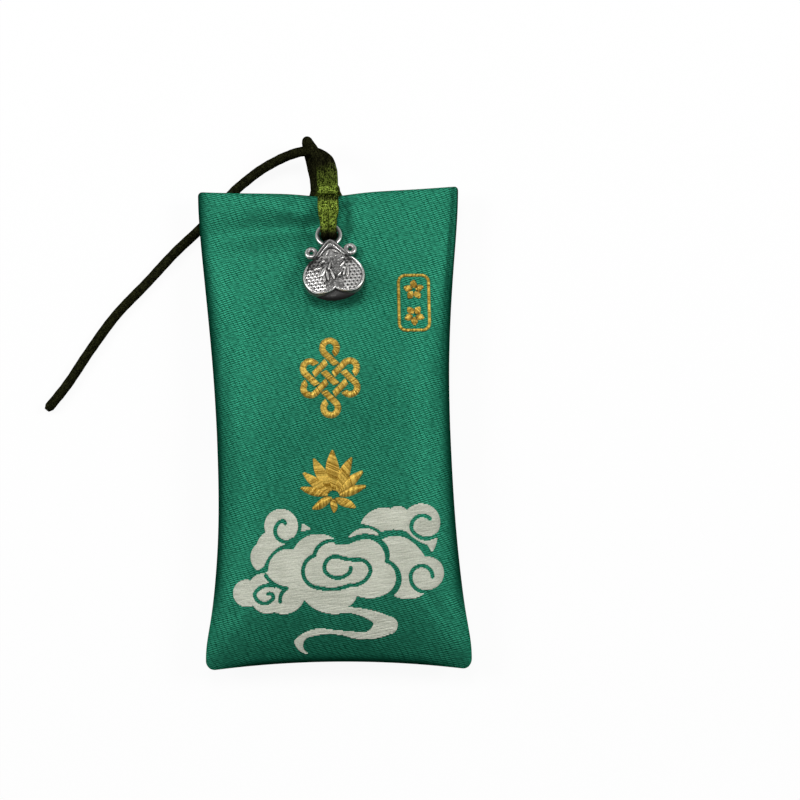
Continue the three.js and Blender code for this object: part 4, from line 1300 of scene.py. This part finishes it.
def layered(name, upper, lower, limits, grid):
    """Closed layer between two heights over part of the plan."""
    side, base, mouth = limits
    columns, rows = grid
    s, t = np.meshgrid(np.linspace(-side, side, columns), np.linspace(base, mouth, rows))
    top, bottom = (np.stack([*plan(s, t), height(s, t)], axis=-1) for height in (upper, lower))
    return welded(mesh_of(name, *two_sided(top, bottom)), LAYER_WELD)


def inner_limits(inset):
    side = 1 - inset / (POUCH_WIDTH / 2)
    base = -1 + (inset + BASE_PULL) / (POUCH_LENGTH / 2)
    mouth = 1 - (MOUTH_CLEAR + inset) / (POUCH_LENGTH / 2)
    return side, base, mouth


def front_inside(s, t):
    return SEAM_FRONT + CROWN * fullness(s, t)


def back_inside(s, t):
    return SEAM_BACK - np.minimum(BACK_DEPTH * fullness(s, t), SEAM_BACK - FABRIC)


def lumps(x, y, size):
    return ripple(x / size, y / size, *LUMP_WAVES) / 2


def wadding_upper(s, t):
    x, y = plan(s, t)
    ceiling = front_inside(s, t) - 2 * LAYER_GAP - BACKING
    return ceiling - UPPER_LOOSE + UPPER_LUMP * lumps(x, y, UPPER_LUMP_SIZE)


def wadding_lower(s, t):
    x, y = plan(s, t)
    floor = np.maximum(back_inside(s, t) + 2 * LAYER_GAP + BACKING, SLIP_TOP + LAYER_GAP)
    loose = floor + LOWER_LOOSE + LOWER_LUMP * lumps(x + LOWER_LUMP_OFF, y, LOWER_LUMP_SIZE)
    return np.minimum(loose, wadding_upper(s, t) - WADDING_THINNEST)


def front_backing_top(s, t):
    return front_inside(s, t) - LAYER_GAP - FRONT_BACKING_DROP


def back_backing_top(s, t):
    return back_inside(s, t) + LAYER_GAP + BACKING


def fill_pouch():
    wadding = fibre_finish("white_wadding", (0.68, 0.67, 0.62), (0.9, 0.89, 0.85), grain_scale=500.0)
    limits = inner_limits(SEAM_ALLOWANCE + STUFFING_INSET)
    stuffed = layered("wadding", wadding_upper, wadding_lower, limits, WADDING_GRID)
    pad = add_piece("wadding_fill", stuffed, wadding, "pouch", "wadding_pad")
    backing = fibre_finish("embroidery_backing", (0.66, 0.63, 0.55), (0.86, 0.84, 0.77), grain_scale=1500.0)
    limits = inner_limits(SEAM_ALLOWANCE)
    for node, top in (("front_backing", front_backing_top), ("back_backing", back_backing_top)):
        def bottom(s, t, top=top):
            return top(s, t) - BACKING
        name = node + "_cloth"
        cloth = layered(name, top, bottom, limits, BACKING_GRID)
        sheet = add_piece(name, cloth, backing, "pouch", node)


# Charm, drawn in its own frame: the ring's top wire is the origin, +Z faces the viewer
JOINT = frame["joints"][0]
CHARM_TILT, CHARM_TURN = 27, 5.5  # degrees
CHARM_WELD = 0.0005
RING_BORE, RING_WIRE = 4.35, 0.95
RING_RADIUS = (RING_BORE + RING_WIRE) / 2
RING_SIDES, EAR_SIDES = (72, 20), (40, 14)  # round the loop and round its wire
CHARM_WIDTH, BELLY_HEIGHT, BELLY_DEPTH, BELLY_DROP = 14.4, 12.2, 5, 11
BELLY_RINGS, BELLY_SIDES, BELLY_SUNK = 40, 72, 0.3
BELLY_Y = -RING_RADIUS - BELLY_DROP
FACE_DEPTH, FACE_STEP, LOWER_STEP, FACE_RIM, FACE_RECESS, LOBE_NOTCH = 2.1, 0.15, 1.1, 0.55, 0.5, 1.15
FACE_SHOULDER = 3.9  # half width of the face where it runs in under the gable
LOBE_MIDDLE = 0.52  # share of the half width at which a lobe is lowest
# Heights on the face: its widest line, where it begins to run into the collar, and its tip in the gable
FACE_WIDEST, FACE_JOIN, FACE_PEAK = -0.9, 3.4, 7.2
FACE_MIDDLE = np.array([0, -0.4])
FACE_CURVE_POINTS, FACE_PITCH = 40, 1 / 6  # points of each curve of the outline, and their final spacing
FACE_SHARES = np.concatenate([np.linspace(0.012, 0.78, 52), np.linspace(0.79, 1, 26)])  # rings, middle to rim
FACE_SIDE = ((0.45, 0.05), (0.9, 0.02), (1.6, -0.1))  # rings down its side: drop and how far out
FACE_CROWN, FACE_CROWN_EASE, RIM_EASE, RIM_RISE, RIM_SLOPE = 0.3, 4, 0.25, 0.05, 0.95
GABLE_EASE = 1.3  # width over which the face sinks to the collar inside the gable
RIDGE_ENDS = 4.6, 5.4  # heights between which the collar's ridges fade out
COLLAR_TOP_WIDTH, COLLAR_BASE_WIDTH, COLLAR_RISE, COLLAR_BASE_RISE = 2.4, 8.2, 9, 4.4
COLLAR_DEPTH, COLLAR_EDGE, RIDGE_WIDTH, RIDGE_HEIGHT, RIDGE_PITCH = 2.6, 0.9, 0.9, 0.5, 1.5
COLLAR_GRID, COLLAR_THIN, COLLAR_SQUARE = (91, 61), 0.35, 14  # depth left at the sides, how late it thins
ROOF_RISE, ROOF_ROUND, RIDGE_INSET = 0.7, 0.8, 0.05
OUTER_RIDGE, INNER_RIDGE, INNER_RIDGE_AT = 0.4, 0.3, 0.7  # half widths in ridge widths; place in pitches
EAR_OUTER, EAR_WIRE, EAR_RISE, EAR_SPREAD, EAR_OUT = 3.1, 1.15, 6.6, 8.9, 0.2
# Spray of leaves on the face: foot x and y, direction in degrees, length and width
LEAVES = (
    (-3.0, -0.8, 60, 2.7, 1.0), (-2.2, -2.3, 93, 2.0, 0.55), (-1.3, -1.9, 96, 2.6, 0.55),
    (-1.1, 0.8, 70, 2.0, 0.5), (0.1, -1.7, 106, 2.8, 0.65), (0.8, -1.1, 48, 1.4, 0.5),
    (2.1, -1.0, 68, 1.8, 0.5), (3.0, -1.6, 80, 2.9, 0.6), (-4.4, 1.2, 6, 1.9, 0.65),
    (1.2, 3.1, 22, 1.7, 0.55), (1.6, 1.4, 42, 1.7, 0.55), (-2.7, 2.8, 22, 1.1, 0.55),
    (-1.3, 4.7, 58, 1.6, 0.45), (0.4, 5.9, -32, 1.5, 0.45), (-0.4, 4.0, 12, 1.6, 0.4),
)
LEAF_HEIGHT, LEAF_MOAT, LEAF_EASE, LEAF_LOWEST, LEAF_NARROWEST = 0.5, 0.22, 0.8, 0.03, 0.02
LEAF_MOAT_ENDS = -0.05, 1.05  # shares of a leaf's length between which its moat runs
PIT_PITCH, PIT_RADIUS, PIT_DEPTH = 0.95, 0.3, 0.16
PIT_ROW = PIT_PITCH * 0.87
# Where the bare pitted ground begins on both sides and ends above, and how much higher it goes to the right;
# above it, painted shade leaves the ground dark
FIELD_FROM, FIELD_TOP, FIELD_RISE = 1.9, 1.0, 0.3
FIELD_FROM_EASE, FIELD_TOP_EASE = 0.5, 0.6
SPECKLE = 0.05  # height of the cast grain between the leaves
SPECKLE_WAVES = (5.1, 1.7, 3.3), (5.7, 1.3, 4.1)
# Wear and painted shade, from 0 where the cast is black to 1 where it is bare metal; painted shade only where
# marked
LEAF_WEAR, MOAT_LOSS = 0.35, 0.9  # at a leaf's edge, and how much of it the moat beside a leaf lacks
FIELD_WEAR, FIELD_SHADE, FIELD_SHADE_RUN = 0.95, 0.3, (-2, 4)  # on the pitted ground, then painted shade that darkens it towards the right, and where
GROUND_WEAR, GRAIN_WEAR, GABLE_WEAR = 0.16, 0.2, 0.2  # between leaves, then more on grains and in the gable
BEAD_RUN = 0.05, 0.6  # heights of the rim's bead between which it becomes bare
BEAD_SHADE, BEAD_SHADE_SKEW, BEAD_SHADE_FROM = 0.6, 0.35, -0.5  # painted shade on the upper rim, weaker to the right, and where it starts
SIDE_WEAR, LOOP_WEAR, LOOP_OUTER_WEAR = 0.35, 0.2, 0.55
BELLY_WEAR, BELLY_BACK_WEAR, BELLY_BACK_RUN = 0.05, 0.3, (0.45, 0.9)
COLLAR_WEAR, RIDGE_WEAR, COLLAR_BACK_WEAR = 0.08, 0.3, 0.3


def charm_place():
    tilt = Matrix.Rotation(math.radians(-CHARM_TILT), 4, "X")
    turn = Matrix.Rotation(math.radians(CHARM_TURN), 4, "Z")
    return Matrix.Translation(Vector(JOINT["pos_m"])) @ (tilt @ turn)


def bezier(*stops):
    u = np.linspace(0, 1, FACE_CURVE_POINTS, endpoint=False)[:, None]
    a, b, c, d = np.array(stops, dtype=float)
    return (1 - u) ** 3 * a + 3 * (1 - u) ** 2 * u * b + 3 * (1 - u) * u * u * c + u ** 3 * d


def face_outline():
    """Outline of the charm's face, one side mirrored onto the other."""
    half = CHARM_WIDTH / 2 - FACE_STEP
    shoulder = FACE_SHOULDER
    top = COLLAR_BASE_RISE + FACE_STEP
    low = -BELLY_HEIGHT / 2 + LOWER_STEP
    lobe = half * LOBE_MIDDLE
    right = np.vstack([
        bezier((0, low + LOBE_NOTCH), (lobe * 0.15, low + LOBE_NOTCH / 3), (lobe * 0.6, low), (lobe, low)),
        bezier((lobe, low), (half * 0.8, low), (half, low * 0.55), (half, FACE_WIDEST)),
        bezier((half, FACE_WIDEST), (half, top * 0.28), (half * 0.82, top * 0.68), (shoulder, top)),
        bezier((shoulder, top), (shoulder * 0.7, top * 1.12), (shoulder * 0.4, FACE_PEAK), (0, FACE_PEAK)),
    ])
    left = right[1:][::-1] * (-1, 1)
    return resampled(np.vstack([right, [(0, FACE_PEAK)], left, right[:1]]), FACE_PITCH)[:-1]


def face_relief(x, y):
    """Height of the charm's face over its ground, and how bare the metal is there: rubbed, and darker in
    places by painted shade.
    """
    relief, moat = np.zeros_like(x), np.zeros_like(x)
    for foot_x, foot_y, angle, length, width in LEAVES:
        along, across = turned(x - foot_x, y - foot_y, angle)
        along, across = along / length, np.abs(across)
        half = width / 2 * np.sqrt(np.clip(np.sin(math.pi * np.clip(along, 0, 1) ** LEAF_EASE), 0, 1))
        body = np.sqrt(np.clip(1 - (across / np.maximum(half, 1e-6)) ** 2, 0, 1)) * (half > LEAF_NARROWEST)
        relief = np.maximum(relief, LEAF_HEIGHT * body)
        before, after = LEAF_MOAT_ENDS
        beside = bell(np.maximum(across - half, 0) / LEAF_MOAT) * ((along > before) & (along < after))
        moat = np.maximum(moat, beside)
    leaf = relief > LEAF_LOWEST
    open_ground = relief < LEAF_LOWEST
    # the bare pitted ground stops above, and darkens towards the right: painted shade
    ground = smoothstep(FIELD_FROM, FIELD_FROM + FIELD_FROM_EASE, np.abs(x))
    ground *= 1 - smoothstep(FIELD_TOP, FIELD_TOP + FIELD_TOP_EASE, y - FIELD_RISE * np.maximum(x, 0))
    row = np.round(y / PIT_ROW)
    px = x - (np.round(x / PIT_PITCH - row * 0.5) + row * 0.5) * PIT_PITCH
    py = y - row * PIT_ROW
    pit = bell((px * px + py * py) / PIT_RADIUS ** 2) * (np.abs(x) > FIELD_FROM) * open_ground
    speckle = ripple(x, y, *SPECKLE_WAVES)
    in_gable = smoothstep(FACE_JOIN, COLLAR_BASE_RISE, y)
    dull = GROUND_WEAR + GRAIN_WEAR * np.clip(speckle, 0, 1) + GABLE_WEAR * in_gable
    bare = (FIELD_WEAR - FIELD_SHADE * smoothstep(*FIELD_SHADE_RUN, x)) * ground + (1 - ground) * dull
    on_leaf = LEAF_WEAR + (1 - LEAF_WEAR) * relief / LEAF_HEIGHT
    worn_and_shaded = np.where(leaf, on_leaf, bare * (1 - MOAT_LOSS * moat) * (1 - pit))
    return relief - PIT_DEPTH * pit + SPECKLE * speckle * (1 - ground) * open_ground, worn_and_shaded


def charm_face():
    """Face plate: a relief in rings from its middle to the rim, then down its side."""
    outline = face_outline()
    count = len(outline)
    spokes = outline - FACE_MIDDLE
    reach = np.linalg.norm(spokes, axis=1)
    ground = FACE_DEPTH - FACE_RECESS
    rings, wear_and_shade = [], []
    for share in FACE_SHARES:
        flat = FACE_MIDDLE + spokes * share
        x, y = flat.T
        to_edge = (1 - share) * reach * RIM_SLOPE
        on_rim = to_edge < FACE_RIM
        relief, worn_and_shaded = face_relief(x, y)
        inner = smoothstep(FACE_RIM, FACE_RIM + RIM_EASE, to_edge)
        in_gable = smoothstep(FACE_JOIN, COLLAR_BASE_RISE, y)
        under_collar = in_gable * (1 - smoothstep(0, GABLE_EASE, to_edge))
        crown = FACE_CROWN * (1 - (x / (CHARM_WIDTH / 2)) ** 2) * (1 - share ** FACE_CROWN_EASE)
        bead = np.sqrt(np.clip(1 - (to_edge / (FACE_RIM / 2) - 1) ** 2, 0, 1)) * (1 - in_gable)
        height = ground + np.where(on_rim, (FACE_RECESS + RIM_RISE) * bead, crown + relief * inner)
        height = height * (1 - under_collar) + COLLAR_DEPTH / 2 * under_collar
        # painted shade: the rim's bead darkens towards the top, less so to the right
        rim_shade = (BEAD_SHADE - BEAD_SHADE_SKEW * np.sign(x)) * smoothstep(BEAD_SHADE_FROM, FACE_JOIN, y)
        rings.append(np.column_stack([flat, height]))
        wear_and_shade.append(np.where(on_rim, smoothstep(*BEAD_RUN, bead * (1 - rim_shade)), worn_and_shaded * inner))
    for drop, out in FACE_SIDE:
        flat = FACE_MIDDLE + spokes * (1 + out / reach[:, None])
        rings.append(np.column_stack([flat, np.full(count, ground - drop)]))
        wear_and_shade.append(np.full(count, SIDE_WEAR))
    points = np.vstack(rings)
    ends = [range(count), range(len(points) - 1, len(points) - count - 1, -1)]
    return points, [*ring_faces(len(rings), count), *ends], np.concatenate(wear_and_shade)


def belly():
    """Rounded back and lower lip; its front stays below the face's field."""
    down = np.linspace(0, math.pi, BELLY_RINGS + 1)[:, None]
    around = np.linspace(0, TAU, BELLY_SIDES, endpoint=False)[None, :]
    up = np.cos(down) * np.ones_like(around)
    front = FACE_DEPTH - FACE_RECESS - BELLY_SUNK
    points = np.stack([np.sin(down) * np.cos(around) * CHARM_WIDTH / 2,
                       np.sin(down) * np.sin(around) * BELLY_HEIGHT / 2,
                       np.where(up > 0, up * front, up * BELLY_DEPTH / 2)], axis=-1)
    wear_and_shade = BELLY_WEAR + BELLY_BACK_WEAR * smoothstep(*BELLY_BACK_RUN, -up)
    return points.reshape(-1, 3), ring_faces(BELLY_RINGS + 1, BELLY_SIDES), wear_and_shade.ravel()


def torus(radius, wire, centre, sides):
    around, section = (np.linspace(0, TAU, count, endpoint=False) for count in sides)
    around = around[:, None]
    out = radius + wire / 2 * np.cos(section)
    high = np.broadcast_to(wire / 2 * np.sin(section), sides)
    points = np.stack([out * np.cos(around), out * np.sin(around), high], axis=-1)
    wear_and_shade = np.broadcast_to((1 + np.cos(section)) / 2, sides).ravel() * LOOP_OUTER_WEAR + LOOP_WEAR
    return points.reshape(-1, 3) + np.array(centre), ring_faces(*sides, closed=True), wear_and_shade


def charm_collar():
    """Gathered mouth: a wedge with two roof-shaped ridges on its front."""
    columns, rows = COLLAR_GRID
    a, b = np.meshgrid(np.linspace(-1, 1, columns), np.linspace(0, 1, rows))
    foot = COLLAR_BASE_RISE - COLLAR_EDGE
    y = foot + (COLLAR_RISE - foot) * b
    slope = (COLLAR_RISE - COLLAR_BASE_RISE - COLLAR_EDGE) / ((COLLAR_BASE_WIDTH - COLLAR_TOP_WIDTH) / 2)
    x = a * np.minimum(COLLAR_BASE_WIDTH / 2, COLLAR_TOP_WIDTH / 2 + (COLLAR_RISE - y) / slope)
    roof = COLLAR_RISE + ROOF_RISE - np.sqrt((x * slope) ** 2 + ROOF_ROUND) - y - RIDGE_INSET
    kept = smoothstep(*RIDGE_ENDS, y)
    first = kept * bell(roof / (RIDGE_WIDTH * OUTER_RIDGE))
    second = kept * bell((roof - RIDGE_PITCH * INNER_RIDGE_AT) / (RIDGE_WIDTH * INNER_RIDGE))
    edge = COLLAR_THIN + (1 - COLLAR_THIN) * np.sqrt(np.clip(1 - np.abs(a) ** COLLAR_SQUARE, 0, 1))
    front = (COLLAR_DEPTH / 2 + RIDGE_HEIGHT * np.maximum(first, second)) * edge
    points, faces = two_sided(*(np.stack([x, y, z], axis=-1) for z in (front, -COLLAR_DEPTH / 2 * edge)))
    wear_and_shade = [(COLLAR_WEAR + RIDGE_WEAR * first + second).ravel(), np.full(a.size, COLLAR_BACK_WEAR)]
    return points, faces, np.clip(np.concatenate(wear_and_shade), 0, 1)


def join(parts):
    """Points, faces and bare-metal shares of several shells as one set."""
    points, faces, wear_and_shade, base = [], [], [], 0
    for part_points, part_faces, part_wear_and_shade in parts:
        points.append(part_points)
        wear_and_shade.append(part_wear_and_shade)
        faces += [[base + n for n in face] for face in part_faces]
        base += len(part_points)
    return np.vstack(points), faces, np.concatenate(wear_and_shade)


def hang_charm():
    finish = silver_finish()
    place = charm_place()
    ears = [torus((EAR_OUTER - EAR_WIRE) / 2, EAR_WIRE, (side * EAR_SPREAD / 2, EAR_RISE, EAR_OUT), EAR_SIDES)
            for side in (-1, 1)]
    hung = [torus(RING_RADIUS, RING_WIRE, (0, 0, 0), RING_SIDES)]
    for name, parts, shift, node in (
        ("charm_cast", [charm_face(), belly(), charm_collar(), *ears], BELLY_Y, "charm_casting"),
        ("charm_ring_wire", hung, -RING_RADIUS, "charm_ring"),
    ):
        points, faces, wear_and_shade = join(parts)
        mesh = mesh_of(name, points + np.array([0, shift, 0]), faces)
        add_attribute(mesh, "worn_and_shaded", wear_and_shade)
        welded(mesh, CHARM_WELD)
        mesh.transform(place)
        add_piece(name, mesh, finish, "charm", node)


# Assembly
FRONT_THREAD, BACK_THREAD = 0.32, 0.3
CLOUD_LOFT, GOLD_LOFT, BACK_LOFT = 0.14, 0.34, 0.24  # how far stitches arch off the cloth
CLOUD_SEED, GOLD_SEED, BACK_SEED = 11, 12, 13
DOWN, UP = -1, 1  # ways along z in which stitches are laid

aim_camera()
tie_cord()
bpy.context.scene.view_settings.view_transform = "Standard"
for lamp in LAMPS:
    add_lamp(*lamp)
light_world()
lay_floor()

fill_pouch()
satin = satin_finish()
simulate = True
front = satin_panel("front_satin", front_height, FRONT_HOLE_DROP, "front_panel", satin,
                    facing_up=True, settle=simulate)
back = satin_panel("back_satin", back_height, BACK_HOLE_DROP, "back_panel", satin,
                   facing_up=False, settle=False)

gold = thread_finish("gold_thread", (0.2, 0.09, 0.002), (0.98, 0.7, 0.15), streaks=0.7, roughness=0.36,
                     gloss=0.1, tint=(1.0, 0.7, 0.15), metal=0.45)
white = thread_finish("white_thread", (0.36, 0.38, 0.305), (0.78, 0.795, 0.69), streaks=0.3, roughness=0.6,
                      gloss=0.3)
tree = stitch_tree()
sew("cloud_embroidery", tree, cloud_stitches(), front, DOWN, FRONT_THREAD, CLOUD_LOFT, CLOUD_SEED,
    white)
sew("gold_embroidery", tree, front_gold(), front, DOWN, FRONT_THREAD, GOLD_LOFT, GOLD_SEED,
    gold)
sew("back_gold_embroidery", tree, back_gold(), back, UP, BACK_THREAD, BACK_LOFT, BACK_SEED,
    gold)
hang_charm()

slip = frame["nodes"]["talisman_slip"]
slip.data.materials.clear()
slip.data.materials.append(paper_finish())
